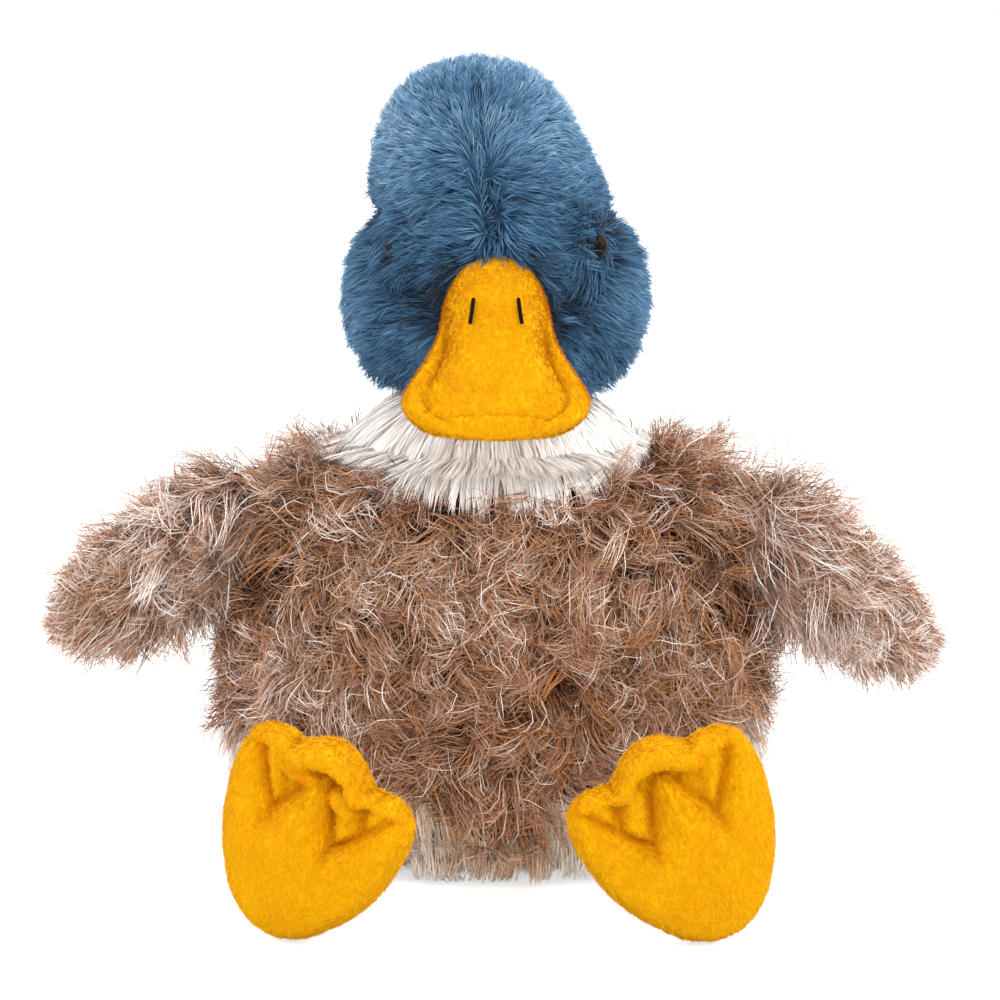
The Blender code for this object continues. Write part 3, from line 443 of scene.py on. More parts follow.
whiteFur = furMaterial(
    "whiteFur", [(0.0, srgb(242, 230, 218)), (0.4, srgb(252, 246, 241)), (1.0, srgb(255, 255, 254))],
    [(0.0, (0.95, 0.94, 0.92, 1)), (0.3, (0.99, 0.98, 0.97, 1)), (1.0, (1, 1, 1, 1))], 0.5, 0.25)
blueFur = furMaterial(
    "blueFur", [(0.0, srgb(8, 18, 28)), (0.13, srgb(28, 62, 92)), (0.3, srgb(50, 92, 126)),
                (0.55, srgb(76, 118, 150)), (0.8, srgb(112, 148, 176)), (1.0, srgb(158, 182, 204))],
    [(0.0, (0.30, 0.34, 0.38, 1)), (0.45, (0.82, 0.84, 0.86, 1)), (1.0, (1.12, 1.10, 1.08, 1))],
    0.6, 0.25)
yellowPile = furMaterial(
    "yellowPile", [(0.0, srgb(222, 98, 0)), (0.25, srgb(226, 140, 0)), (0.5, srgb(223, 164, 2)),
                   (0.75, srgb(234, 187, 8)), (1.0, srgb(250, 214, 50))],
    [(0.0, (0.88, 0.85, 0.80, 1)), (0.6, (0.98, 0.98, 0.98, 1)), (1.0, (1.10, 1.10, 1.10, 1))],
    0.9, 0.08)
yellowSheen = yellowPile.node_tree.nodes["Principled BSDF"]  # the velvet rim of a short pile
yellowSheen.inputs["Sheen Weight"].default_value = 0.25
yellowSheen.inputs["Sheen Roughness"].default_value = 0.4
yellowSheen.inputs["Sheen Tint"].default_value = srgb(255, 205, 60)
coatCloth = clothMaterial("coatCloth", srgb(54, 34, 24), srgb(84, 56, 40))
creamCloth = clothMaterial("creamCloth", srgb(190, 168, 148), srgb(222, 206, 192))
whiteCloth = clothMaterial("whiteCloth", srgb(240, 232, 224), srgb(250, 246, 242))
blueCloth = clothMaterial("blueCloth", srgb(28, 54, 80), srgb(44, 76, 106))
yellowCloth = clothMaterial("yellowCloth", srgb(212, 144, 0), srgb(230, 167, 0), 900.0, 0.0003)
threadDark = plainMaterial("threadDark", srgb(8, 5, 4), srgb(24, 14, 8), 0.9, 2500.0, 0.1)
eyeBlack = plainMaterial("eyeBlack", srgb(8, 6, 6), srgb(22, 12, 7), 0.22, specular=0.07)
washerWhite = plainMaterial("washerWhite", srgb(225, 225, 220), srgb(238, 238, 234), 0.5)

wool = {"knots": 6, "perLock": 13, "swirl": 0.68, "stray": 0.24, "curl": 1.6, "wave": 0.45, "waves": 1.0,
        "lift": 0.9, "tipLift": 0.14, "bob": 0.06, "sag": 0.2, "uneven": 0.17, "close": 0.42,
        "roll": 0.9, "width": 0.00029, "tintSpread": 0.16, "length": 0.0185}
underLook = dict(wool, knots=5, length=0.013, lift=0.7, width=0.00042, tintSpread=0.2, perLock=12)
flyLook = dict(wool, knots=7, length=0.021, perLock=7, curl=1.9, wave=0.6, waves=1.2, swirl=0.85,
               stray=0.2, lift=1.0, tipLift=0.22, bob=0.15, close=0.6, width=0.00026, tintSpread=0.14)


coatWander = {"length": 0.12, "lengthScale": 0.02, "tint": 0.08, "tintScale": 0.012, "flyTint": 0.16}


def woolCoat(name, piece, counts, combAt, density, body, seed, lengthAt=None, liftAt=None, shiftAt=None,
             shift=0.0, parts=1, smooth=1.0, short=1.0):
    layers = (("Under", underLook, underWool), ("Middle", wool, middleWool), ("Fly", flyLook, middleWool))
    for index, (label, look, material) in enumerate(layers):
        rng = np.random.default_rng(seed + index)
        roots, normals = scatter(piece, counts[index], rng, density)
        look = dict(look, curl=look["curl"] * smooth, wave=look["wave"] * smooth,
                    swirl=look["swirl"] * smooth, length=look["length"] * short)
        lengths = 1 + coatWander["length"] * ripple(roots, coatWander["lengthScale"], seed + 7)
        lengths *= lengthAt(roots, normals) if lengthAt else 1.0
        shifts = shift + coatWander["tint"] * ripple(roots, coatWander["tintScale"], seed + 8)
        shifts = shifts + (shiftAt(roots) if shiftAt else 0.0)
        shifts = shifts + (coatWander["flyTint"] if label == "Fly" else 0.0)
        groom(f"{name}{label}", roots, normals, combAt(roots, normals), look, material, body,
              rng, lengths, shifts, liftAt(roots, normals) if liftAt else 1.0, parts if index == 1 else 1)


bodyShape = {"inset": 0.0062, "fineness": 5, "skinFloor": 0.0006, "hem": 0.032, "hemCurve": 3.2,
             "tuft": 0.016, "tuftMiddle": 0.001, "tuftWidth": 0.010, "collarRadius": 0.039,
             "collarRound": 1.15, "neckLow": 0.104, "topFrom": 0.100, "topTo": 0.114,
             "counts": (13000, 38000, 5500), "shift": -0.08, "shoulderLength": 0.25,
             "shoulderLift": 0.7, "shoulderTint": 0.2, "neckLift": 0.6, "foldShade": 0.5,
             "foldWidth": 0.006}
bodyNodes = ["body_front_panel", "body_back_panel", "body_under_panel", "body_stuffing"]
bm = wrapped(bodyNodes, bodyShape["fineness"], bodyShape["inset"], 3)
for vert in bm.verts:
    vert.co.z = max(vert.co.z, bodyShape["skinFloor"])
bodySkin = placeSkin("bodySkin", bm, coatCloth, "torso", bodyNodes + ["pellet_bag"])


def hemAt(x, higher=0.0):  # the coat's hem runs higher at the flanks
    return bodyShape["hem"] + higher + bodyShape["hemCurve"] * x ** 2


bodySkin.data.materials.append(creamCloth)
for face in bodySkin.data.polygons:
    face.material_index = 1 if face.center.z < hemAt(face.center.x) else 0


def bodyComb(roots, normals):
    outward = unit(roots * np.array([1.0, 1.0, 0.0]))
    top = smoothStep(bodyShape["topFrom"], bodyShape["topTo"], roots[:, 2])[:, None]
    combs = np.array([0.0, 0.0, -1.0]) * (1 - 0.7 * top) + outward * (0.3 + 0.6 * top)
    return tilted(combs, normals, 0.8 * ripple(roots, 0.012, 3))


def coatDensity(p):  # down to the hem and a tuft at its middle, up to the ring under the collar
    look = bodyShape
    ring = np.hypot(p[:, 0] / look["collarRound"], p[:, 1])
    tuft = look["tuft"] * np.exp(-((p[:, 0] - look["tuftMiddle"]) / look["tuftWidth"]) ** 2)
    clear = (p[:, 2] < look["neckLow"]) | (ring > look["collarRadius"])
    return ((p[:, 2] > hemAt(p[:, 0]) - tuft) & clear) * 1.0


wingFold = [[(0.045, 0.108, 0.5), (0.058, 0.094, 1.0), (0.066, 0.084, 1.0), (0.075, 0.070, 0.9)]]


def wingFoldShade(p):  # painted shade: the coat is darker where the wings lie against it
    nearest, depth = lineDistance(np.abs(p[:, 0]), p[:, 2], wingFold)
    dark = -bodyShape["foldShade"] * depth * np.exp(-(nearest / bodyShape["foldWidth"]) ** 2)
    return dark * (p[:, 1] < 0)


def shoulder(p):
    return smoothStep(0.034, 0.050, np.abs(p[:, 0])) * smoothStep(0.090, 0.104, p[:, 2])


# the coat's tint shifts carry painted shade along the wing folds
woolCoat("coat", bodySkin, bodyShape["counts"], bodyComb, coatDensity, "torso", 11,
         lambda p, n: 1 + bodyShape["shoulderLength"] * shoulder(p),
         lambda p, n: (1 + bodyShape["shoulderLift"] * shoulder(p)
                       + bodyShape["neckLift"] * smoothStep(0.097, 0.107, p[:, 2])),
         lambda p: wingFoldShade(p) + bodyShape["shoulderTint"] * shoulder(p),
         shift=bodyShape["shift"], parts=2)

undersideLook = {"strands": 21000, "overlap": 0.010, "lowest": 0.002, "thickBelow": 0.014, "thick": 1.5,
                 "outBelow": 0.012, "fullFrom": 0.022, "shift": 0.25, "frontShade": 0.55,
                 "flankLength": 0.3, "flankLift": 1.6, "length": 0.015, "knots": 5, "perLock": 14,
                 "swirl": 0.14, "stray": 0.07, "curl": 0.15, "wave": 0.08, "waves": 1.0, "lift": 0.4,
                 "tipLift": 0.03, "bob": 0.0, "sag": 0.2,
                 "uneven": 0.12, "close": 0.16, "roll": 0.5, "width": 0.00050, "tintSpread": 0.07}
rng = np.random.default_rng(21)


def undersideDensity(p):
    furred = (p[:, 2] < hemAt(p[:, 0], undersideLook["overlap"])) & (p[:, 2] > undersideLook["lowest"])
    return furred * (1.0 + undersideLook["thick"] * (p[:, 2] < undersideLook["thickBelow"]))


roots, normals = scatter(bodySkin, undersideLook["strands"], rng, undersideDensity)
outward = unit(roots * np.array([1.0, 1.0, 0.0]))
combs = np.where(roots[:, 2:3] < undersideLook["outBelow"], outward,
                 np.array([0.0, 0.0, -1.0]) + 0.1 * outward)
# painted shade: the cream strands between the feet are tinted darker, where the feet shade the belly
front = smoothStep(-0.03, -0.05, roots[:, 1]) * smoothStep(0.028, 0.010, np.abs(roots[:, 0]))
flank = smoothStep(0.060, 0.074, np.abs(roots[:, 0])) * smoothStep(0.012, 0.022, roots[:, 2])
groom("undersideStrands", roots, normals, combs, undersideLook, creamFur, "torso", rng,
      np.clip(0.5 + roots[:, 2] / undersideLook["fullFrom"], 0.5, 1.0)
      + undersideLook["flankLength"] * flank,
      undersideLook["shift"] - undersideLook["frontShade"] * front, 1 + undersideLook["flankLift"] * flank)
print("body dressed")

collarLook = {"strands": 26000, "length": 0.0225, "knots": 5, "perLock": 22, "swirl": 0.07, "stray": 0.03,
              "curl": 0.12, "wave": 0.05, "waves": 0.8, "lift": 0.12, "tipLift": 0.03, "bob": 0.0,
              "sag": 0.25, "uneven": 0.08, "close": 0.12, "roll": 0.15, "width": 0.00050,
              "tintSpread": 0.10, "low": 0.1185, "high": 0.1375, "thick": 1.5, "shorterLeft": 0.66,
              "shorterRight": 0.36, "topShare": 0.8, "topLift": 1.5}
collarSkin = placeSkin("collarSkin", wrapped(["neck_collar", "neck_stuffing"], 4, 0.0028, 2),
                       whiteCloth, "neck", ["neck_collar", "neck_stuffing"])
rng = np.random.default_rng(24)
roots, normals = scatter(
    collarSkin, collarLook["strands"], rng,
    lambda p: ((p[:, 2] > collarLook["low"]) & (p[:, 2] < collarLook["high"]))
    * (1 + collarLook["thick"] * smoothStep(0.128, 0.120, p[:, 2])))
outward = unit(roots * np.array([1.0, 1.0, 0.0]))
lengths = 1 + 0.12 * ripple(roots, 0.02, 5)
lengths *= collarLook["topShare"] + (1 - collarLook["topShare"]) * smoothStep(0.138, 0.122, roots[:, 2])
lengths *= 1 - np.where(outward[:, 0] > 0, collarLook["shorterLeft"],
                        collarLook["shorterRight"]) * outward[:, 0] ** 2
groom("collarStrands", roots, normals, 0.3 * outward + np.array([0.0, 0.0, -1.0]), collarLook, whiteFur,
      "neck", rng, lengths, 0.0,
      1 + collarLook["topLift"] * smoothStep(0.129, 0.136, roots[:, 2]))
print("collar dressed")

billShape = {"length": 0.060, "width": 0.0508, "dome": 0.0150, "keel": 0.0066, "rimWidth": 0.0062,
             "rimThickness": 0.0040, "groove": 0.0007, "grooveWidth": 0.0006, "pitch": 36.0,
             "root": (0.0, -0.0287, 0.1692), "columns": 180, "rows": 110, "pile": 42000}
billLengths = (0.0, 0.01, 0.12, 0.23, 0.34, 0.45, 0.56, 0.66, 0.75, 0.84, 0.92, 0.975, 1.0)
billWidths = (0.0, 0.50, 0.56, 0.59, 0.63, 0.71, 0.82, 0.93, 1.0, 0.96, 0.78, 0.46, 0.0)
billDomes = (0.0, 0.9, 1.0, 1.0, 0.93, 0.80, 0.64, 0.49, 0.35, 0.23, 0.13, 0.05, 0.0)
billRims = (0.0, 0.0, 0.05, 0.10, 0.30, 0.65, 0.9, 1.0, 1.0, 1.0, 1.0, 1.0, 1.0)


def billPoints(places, turns):  # a dome inside a stitched groove and a puffed rim, over a keel
    look = billShape
    half = readShares(billWidths, places) * look["width"] / 2
    x = half * np.cos(turns)
    rim = look["rimWidth"] * readShares(billRims, places)
    fromEnd = (1 - readShares(billLengths, places)) * look["length"]
    fromEdge = np.minimum(half - np.abs(x), fromEnd * 1.15)
    lateral = np.minimum(1.0, np.abs(x) / np.maximum(half - rim, 0.001))
    crown = np.maximum(0.0, 1 - lateral ** 3) ** 0.8 * readShares(billDomes, places)
    edge = np.minimum(1, 2.5 * np.abs(np.sin(turns))) * np.minimum(1, 6 * np.minimum(1 - places, places))
    puff = np.sqrt(np.clip(1 - (2 * fromEdge / np.maximum(rim, 1e-4) - 1) ** 2, 0, 1))
    dent = np.exp(-((fromEdge - rim) / look["grooveWidth"]) ** 2) * smoothStep(0.001, 0.004, rim)
    upper = np.sin(turns) >= 0
    lift = look["rimThickness"] / 2 * edge * (1 + 0.35 * puff) + np.where(
        upper, look["dome"], look["keel"]) * crown - look["groove"] * dent * edge * upper
    alongBill = readShares(billLengths, places) * look["length"]
    return np.stack([x, np.where(upper, lift, -lift), alongBill], axis=-1)


pitch = math.radians(billShape["pitch"])
billWay = Vector((0.0, -math.cos(pitch), -math.sin(pitch)))
billPlace = Matrix.Translation(billShape["root"]) @ Matrix(
    (Vector((1, 0, 0)), billWay.cross(Vector((1, 0, 0))), billWay)).transposed().to_4x4()
billSkin = placeSkin("billSkin", lofted(billPoints, billShape["columns"], billShape["rows"], billPlace),
                     yellowCloth, "head",
                     ["bill_upper_panel", "bill_lower_panel", "bill_stuffing"])

pileLook = {"length": 0.0014, "knots": 2, "perLock": 5, "swirl": 0.22, "stray": 0.15, "curl": 0.0,
            "wave": 0.0, "waves": 1.0, "lift": 0.7, "tipLift": 0.25, "bob": 0.0, "sag": 0.0,
            "uneven": 0.14, "close": 0.2, "roll": 0.4, "width": 0.00036, "tintSpread": 0.05}


def velboaPile(name, piece, count, combAt, body, seed, shiftAt=None):
    rng = np.random.default_rng(seed)
    roots, normals = scatter(piece, count, rng)
    shifts = 0.02 * ripple(roots, 0.006, seed) + (shiftAt(roots) if shiftAt else 0.0)
    groom(name, roots, normals, combAt(roots), pileLook, yellowPile, body, rng, 1.0, shifts)


velboaPile("billPile", billSkin, billShape["pile"],
           lambda p: np.tile(np.array(billWay), (len(p), 1)) + 0.01, "head", 41)
for name in ("nostril_stitch_left", "nostril_stitch_right"):
    nodes[name].data.materials.clear()
    nodes[name].data.materials.append(threadDark)
print("bill dressed")

headShape = {"inset": 0.0030, "fineness": 6, "seamDepth": 0.0044, "seamWidth": 0.0021,
             "partLow": (0.0, -0.052, 0.174), "partHigh": (-0.004, -0.040, 0.208), "strands": 86000,
             "lean": 0.0055, "leanFrom": 0.1776, "leanTo": 0.2174, "dome": (0.0, 0.0, 0.0965),
             "domeRadius": 0.0475, "creaseDepth": 0.0055, "creaseWidth": 0.0040, "eyeBare": 0.0049,
             "eyeReach": 0.0110, "eyeBand": 0.015, "washerFrom": 0.0125, "washerTo": 0.0064,
             "washerRaise": 0.9}
browCrease = [[(0.0385, 0.189, 0.4), (0.033, 0.1875, 0.8), (0.0277, 0.185, 1.0), (0.026, 0.175, 1.0),
               (0.023, 0.169, 1.0), (0.0186, 0.1615, 0.8)]]  # x, z and depth share beside the brow
headLook = {"length": 0.0068, "knots": 4, "perLock": 6, "swirl": 0.22, "stray": 0.14, "curl": 0.2,
            "wave": 0.08, "waves": 0.6, "lift": 0.6, "tipLift": 0.10, "bob": 0.0, "sag": 0.03,
            "uneven": 0.14, "close": 0.4, "roll": 0.8, "width": 0.00028, "tintSpread": 0.11}
headLengths = {"cheek": 0.35, "crown": -0.15, "seam": 0.25, "brow": 0.2, "lash": 0.15, "jowl": 1.1}
# the crown tint paints sheen; the brow, bill and line tints paint shade
headTints = {"crown": 0.22, "face": -0.14, "cheek": 0.12, "wander": 0.09, "brow": -0.26, "bill": -0.36,
             "seam": 0.2, "line": -0.6}
headLifts = {"crown": -0.15, "seam": 0.4, "brow": 0.3, "lash": 0.2}


def browDip(points):
    nearest, depth = lineDistance(np.abs(points[:, 0]), points[:, 2], browCrease)
    dip = depth * np.exp(-(nearest / headShape["creaseWidth"]) ** 2)
    return dip * smoothStep(0.012, -0.005, points[:, 1])


def seamOffset(points):  # how far a point lies beside the centre seam, which leans at the crown
    aside = headShape["lean"] * smoothStep(headShape["leanFrom"], headShape["leanTo"], points[:, 2])
    return points[:, 0] + aside


eyes = []  # a middle and an outward way for each
for sideName in ("left", "right"):
    for name, material in ((f"eye_{sideName}", eyeBlack), (f"eye_washer_{sideName}", washerWhite)):
        nodes[name].data.materials.clear()
        nodes[name].data.materials.append(material)
    middle = np.mean([vert.co for vert in nodes[f"eye_washer_{sideName}"].data.vertices], axis=0)
    corners = np.array([vert.co for vert in nodes[f"eye_{sideName}"].data.vertices])
    far = np.linalg.norm(corners - middle, axis=1)
    eyes.append((middle, unit(middle - corners[far > 0.9 * far.max()].mean(axis=0))))


def besideEyes(points):  # how far points lie from the closer eye's middle line
    gaps = []
    for middle, way in eyes:
        away = points - middle
        level = along(away, way)
        elsewhere = np.abs(level[:, 0]) > headShape["eyeBand"]
        gaps.append(np.linalg.norm(away - level * way, axis=1) + 1.0 * elsewhere)
    return np.min(gaps, axis=0)


headNodes = ["head_left_panel", "head_right_panel", "head_stuffing", "cheek_left_panel",
             "cheek_right_panel"]
bm = wrapped(headNodes, headShape["fineness"], headShape["inset"], 5)
bm.normal_update()
corners = np.array([vert.co for vert in bm.verts])
sunk = np.exp(-(seamOffset(corners) / headShape["seamWidth"]) ** 2) * headShape["seamDepth"]
sunk *= smoothStep(0.165, 0.175, corners[:, 2]) * smoothStep(0.228, 0.205, corners[:, 2])
sunk += headShape["creaseDepth"] * browDip(corners)
nearEye = smoothStep(headShape["washerFrom"], headShape["washerTo"], besideEyes(corners))
sunk = sunk * (1 - nearEye) - headShape["washerRaise"] * headShape["inset"] * nearEye  # over the washers
for vert, depth in zip(bm.verts, sunk):
    vert.co -= vert.normal * depth
headSkin = placeSkin("headSkin", bm, blueCloth, "head", headNodes)
rng = np.random.default_rng(31)
roots, normals = scatter(
    headSkin, headShape["strands"], rng,
    lambda p: (np.linalg.norm((p - headShape["dome"]) / [1.15, 1, 1], axis=1) > headShape["domeRadius"])
    * 1.0)
fromBill = outside(roots, billSkin)
fromEye = besideEyes(roots)
keep = (fromBill > 0) & (fromEye > headShape["eyeBare"])
roots, normals, fromBill, fromEye = (rows[keep] for rows in (roots, normals, fromBill, fromEye))
offSeam = seamOffset(roots)
face = smoothStep(-0.005, -0.03, roots[:, 1])
nearSeam = np.exp(-(offSeam / 0.0035) ** 2) * face * smoothStep(0.228, 0.21, roots[:, 2])
low, high = np.array(headShape["partLow"]), np.array(headShape["partHigh"])
share = np.clip((roots - low) @ (high - low) / np.dot(high - low, high - low), 0, 1)
combs = roots - low - share[:, None] * (high - low)  # brushed away from a parting on the brow
combs[:, 0] += np.sign(offSeam) * 0.004 * face
combs[:, 2] -= 0.008 * smoothStep(0.19, 0.17, roots[:, 2])
combs[:, 2] -= 0.03 * smoothStep(0.152, 0.140, roots[:, 2])
dip = browDip(roots)
eyeMiddle = abs(eyes[0][0][0])
lash = smoothStep(headShape["eyeReach"], 0.6 * headShape["eyeReach"], fromEye)  # hangs over an eye
outer = np.abs(roots[:, 0]) > eyeMiddle  # beyond an eye, only the fur at the left side is drawn over it
inward = np.where(outer, -1.0 * (roots[:, 0] > 0), 1.0)
combs[:, 0] += lash * 0.10 * inward * np.sign(roots[:, 0])
combs[:, 2] -= lash * 0.01
combs = tilted(combs, normals, 0.25 * ripple(roots, 0.009, 6) + nearSeam * (
    0.5 * rng.normal(0, 1, len(roots)) + 0.6 * ripple(roots, 0.003, 8)))
cheek = smoothStep(0.028, 0.036, np.abs(roots[:, 0])) * smoothStep(0.192, 0.182, roots[:, 2])
crown = smoothStep(0.185, 0.215, roots[:, 2])
jowl = smoothStep(0.150, 0.138, roots[:, 2]) * smoothStep(0.006, -0.010, roots[:, 1])
lengths = (1.0 + headLengths["cheek"] * cheek + headLengths["crown"] * crown
           + headLengths["seam"] * nearSeam + headLengths["brow"] * dip + headLengths["lash"] * lash
           + headLengths["jowl"] * jowl)
# painted sheen: crown strands lighter away from the seam
shifts = headTints["crown"] * crown * smoothStep(0.004, 0.022, np.abs(offSeam))
shifts += headTints["face"] * (1 - crown) + headTints["cheek"] * cheek
# painted shade: strands darker along the brow crease, less where they hang over an eye
shifts += headTints["wander"] * ripple(roots, 0.011, 9) + headTints["brow"] * dip * (1 - 0.6 * lash)
# painted shade: strands darker close to the bill
shifts += headTints["bill"] * np.exp(-(fromBill / 0.004) ** 2) + headTints["seam"] * nearSeam
# painted shade: a dark line down the seam groove on the face
shifts += headTints["line"] * face * np.exp(-(offSeam / 0.0013) ** 2)
lifts = (1.0 + headLifts["crown"] * crown + headLifts["seam"] * nearSeam
         + headLifts["brow"] * dip * (1 - lash) + headLifts["lash"] * lash)
groom("headStrands", roots, normals, combs, headLook, blueFur, "head", rng, lengths,
      shifts, lifts, parts=3)
print("head dressed")

wingShape = {"inset": 0.0046, "fineness": 5, "counts": (4500, 13000, 900), "rootFrom": 0.096,
             "rootTo": 0.076, "rootLength": 0.3, "hangLength": 0.35, "tipShorter": 0.5, "topLift": 0.5,
             "rootLift": 2.6, "underLift": 1.3, "out": 0.95, "fall": 0.62, "smooth": 0.75,
             "shifts": (0.18, 0.2)}


def wingRoot(p):
    return smoothStep(wingShape["rootFrom"], wingShape["rootTo"], np.abs(p[:, 0]))


def wingLengths(p, n):
    hang = smoothStep(0.112, 0.090, np.abs(p[:, 0])) * smoothStep(0.1, -0.6, n[:, 2])
    tip = smoothStep(0.102, 0.128, np.abs(p[:, 0]))
    return (1 + wingShape["rootLength"] * wingRoot(p) + wingShape["hangLength"] * hang
            - wingShape["tipShorter"] * tip)


def wingLifts(p, n):
    under = 1 + wingShape["underLift"] * smoothStep(0.108, 0.085, np.abs(p[:, 0]))
    return np.where(n[:, 2] > 0.1, wingShape["topLift"] + wingShape["rootLift"] * wingRoot(p), under)


for index, (sideName, side) in enumerate((("left", 1), ("right", -1))):
    names = [f"wing_{sideName}_{part}" for part in ("front_panel", "back_panel", "stuffing")]
    skin = placeSkin(f"wingSkin{sideName.capitalize()}",
                     wrapped(names, wingShape["fineness"], wingShape["inset"], 2), coatCloth,
                     f"wing_{sideName}", names)

    def wingComb(roots, normals):
        combs = np.tile([side * wingShape["out"], 0.0, -wingShape["fall"]], (len(roots), 1))
        combs[:, 2] += 0.9 * wingRoot(roots) * np.maximum(0, normals[:, 2])
        combs[:, 2] += 0.35 * smoothStep(0.1, 0.12, np.abs(roots[:, 0]))
        return tilted(combs, normals, 0.35 * ripple(roots, 0.012, 52 + index))

    woolCoat(f"wing{sideName.capitalize()}", skin, wingShape["counts"], wingComb, None,
             f"wing_{sideName}", 61 + 10 * index, wingLengths, wingLifts,
             shift=wingShape["shifts"][index], smooth=wingShape["smooth"])

tailShape = {"inset": 0.003, "counts": (1500, 3500, 300), "rootFrom": 0.004, "rootReach": 0.012,
             "rootDense": 1.5, "rootLength": 0.5, "rootLift": 1.6, "shift": 0.08, "smooth": 0.7,
             "short": 0.8}
tailNodes = ["tail_top_panel", "tail_under_panel", "tail_stuffing"]
tailStart = tailShape["rootFrom"] + min(
    vert.co.y for name in tailNodes for vert in nodes[name].data.vertices)


def tailRoot(p):
    return smoothStep(tailStart + tailShape["rootReach"], tailStart, p[:, 1])


tailSkin = placeSkin("tailSkin", wrapped(tailNodes, 4, tailShape["inset"], 2), coatCloth, "tail",
                     tailNodes)
woolCoat("tail", tailSkin, tailShape["counts"],
         lambda p, n: tilted(np.tile([0.0, 1.0, -0.3], (len(p), 1)), n, 0.4 * ripple(p, 0.012, 59)),
         lambda p: 1 + tailShape["rootDense"] * tailRoot(p), "tail", 91,
         lambda p, n: 1 + tailShape["rootLength"] * tailRoot(p),
         lambda p, n: 1 + tailShape["rootLift"] * tailRoot(p),
         shift=tailShape["shift"], smooth=tailShape["smooth"], short=tailShape["short"])
print("wings and tail dressed")

footShape = {"width": 0.0606, "height": 0.0592, "back": 0.0068, "pad": 0.0090, "web": 0.0034,
             "creaseFloor": 0.0008, "padRound": 0.30, "webRound": 0.09, "columns": 210, "rows": 120,
             "pile": 42000, "turns": (6.0, -23.0), "soleReach": 0.01465, "centreHeight": 0.0287,
             "creaseShade": 0.26, "creaseReach": 0.05}
footOutline = np.array([
    0.93, 0.934, 0.948, 0.962, 0.99, 1.033, 1.078, 1.131, 1.17, 1.15, 1.06, 0.93, 0.945, 0.979, 0.98,
    0.944, 0.885, 0.815, 0.765, 0.825, 0.91, 0.955, 0.96, 0.919, 0.87, 0.83, 0.79, 0.763, 0.751, 0.742,
    0.742, 0.743, 0.753, 0.77, 0.794, 0.822, 0.876, 0.932, 0.981, 1.024, 1.046, 1.062, 1.05, 1.029,
    1.004, 0.973, 0.946, 0.938])
creases = [  # u, w and depth share along each sewn or gathered crease
    [(0.48, 1.04, 0.7), (0.45, 0.72, 1.0), (0.38, 0.32, 0.9), (0.47, 0.12, 0.0)],
    [(0.20, 0.78, 0.8), (0.02, 0.62, 1.0), (0.14, 0.49, 0.9), (0.38, 0.32, 0.9)],
    [(-0.06, 0.67, 0.9), (-0.19, 0.67, 1.0), (-0.21, 0.5, 1.0), (-0.18, 0.25, 0.9), (-0.17, -0.01, 0.7),
     (-0.10, -0.2, 0.0)],
    [(-0.88, 0.36, 0.6), (-0.52, 0.15, 0.8), (-0.27, 0.03, 0.9), (-0.17, -0.01, 0.7)],
    [(0.20, 0.84, 0.5), (0.11, 0.57, 0.6)], [(-0.50, 0.42, 0.6), (-0.48, 0.16, 0.7)]]
webs = [[(0.48, 1.04), (0.45, 0.72), (0.38, 0.32), (0.14, 0.49), (-0.06, 0.67), (0.1, 0.95)],
        [(-0.19, 0.67), (-0.21, 0.5), (-0.18, 0.25), (-0.17, -0.01), (-0.27, 0.03), (-0.52, 0.15),
         (-0.88, 0.36), (-0.9, 0.6), (-0.5, 0.8)]]
folds = [  # bars that lie in the webs: ends, radius share, height of the middle line
    ((0.32, 0.92), (0.36, 0.46), 0.11, 0.0028), ((0.12, 0.74), (0.08, 0.62), 0.07, 0.0026),
    ((-0.74, 0.44), (-0.62, 0.27), 0.12, 0.0024), ((-0.36, 0.44), (-0.33, 0.12), 0.13, 0.0024),
    ((-0.23, 0.2), (-0.21, 0.06), 0.06, 0.0020)]
rolls = [((-0.50, 0.54), (-0.45, 0.72), 0.15, 0.0054), ((-0.45, 0.72), (-0.30, 0.84), 0.16, 0.0060),
         ((-0.30, 0.84), (-0.12, 0.88), 0.16, 0.0062), ((-0.12, 0.88), (0.04, 0.85), 0.15, 0.0058),
         ((0.04, 0.85), (0.13, 0.79), 0.12, 0.0050), ((0.24, 0.92), (0.34, 1.0), 0.12, 0.0044),
         ((0.34, 1.0), (0.54, 1.03), 0.11, 0.0040), ((-0.86, 0.38), (-0.62, 0.46), 0.10, 0.0038)]
extraRolls = {"left": [], "right": [((0.22, 0.80), (0.14, 0.71), 0.10, 0.0046),
                                    ((0.12, 0.70), (0.0, 0.62), 0.09, 0.0046),
                                    ((-0.28, 0.46), (-0.38, 0.34), 0.10, 0.0046)]}


def barHeight(u, w, bars):  # the highest of some half-round bars that lie on the sole
    best = np.zeros_like(u)
    for (u0, w0), (u1, w1), radius, middle in bars:
        du, dw = u1 - u0, w1 - w0
        part = np.clip(((u - u0) * du + (w - w0) * dw) / (du * du + dw * dw), 0, 1)
        off = np.hypot(u - u0 - part * du, w - w0 - part * dw) / radius
        bulge = middle + 0.9 * radius * footShape["width"] / 2 * np.sqrt(np.clip(1 - off ** 2, 0, 1))
        best = np.where(off < 1, np.maximum(best, bulge), best)
    return best


def inWebs(u, w):
    inside = np.zeros(u.shape, dtype=bool)
    for web in webs:
        odd = np.zeros(u.shape, dtype=bool)
        for (u0, w0), (u1, w1) in zip(web, web[1:] + web[:1]):
            crosses = (w0 > w) != (w1 > w)
            odd ^= crosses & (u < (u1 - u0) * (w - w0) / (w1 - w0 + 1e-12) + u0)
        inside |= odd
    return inside


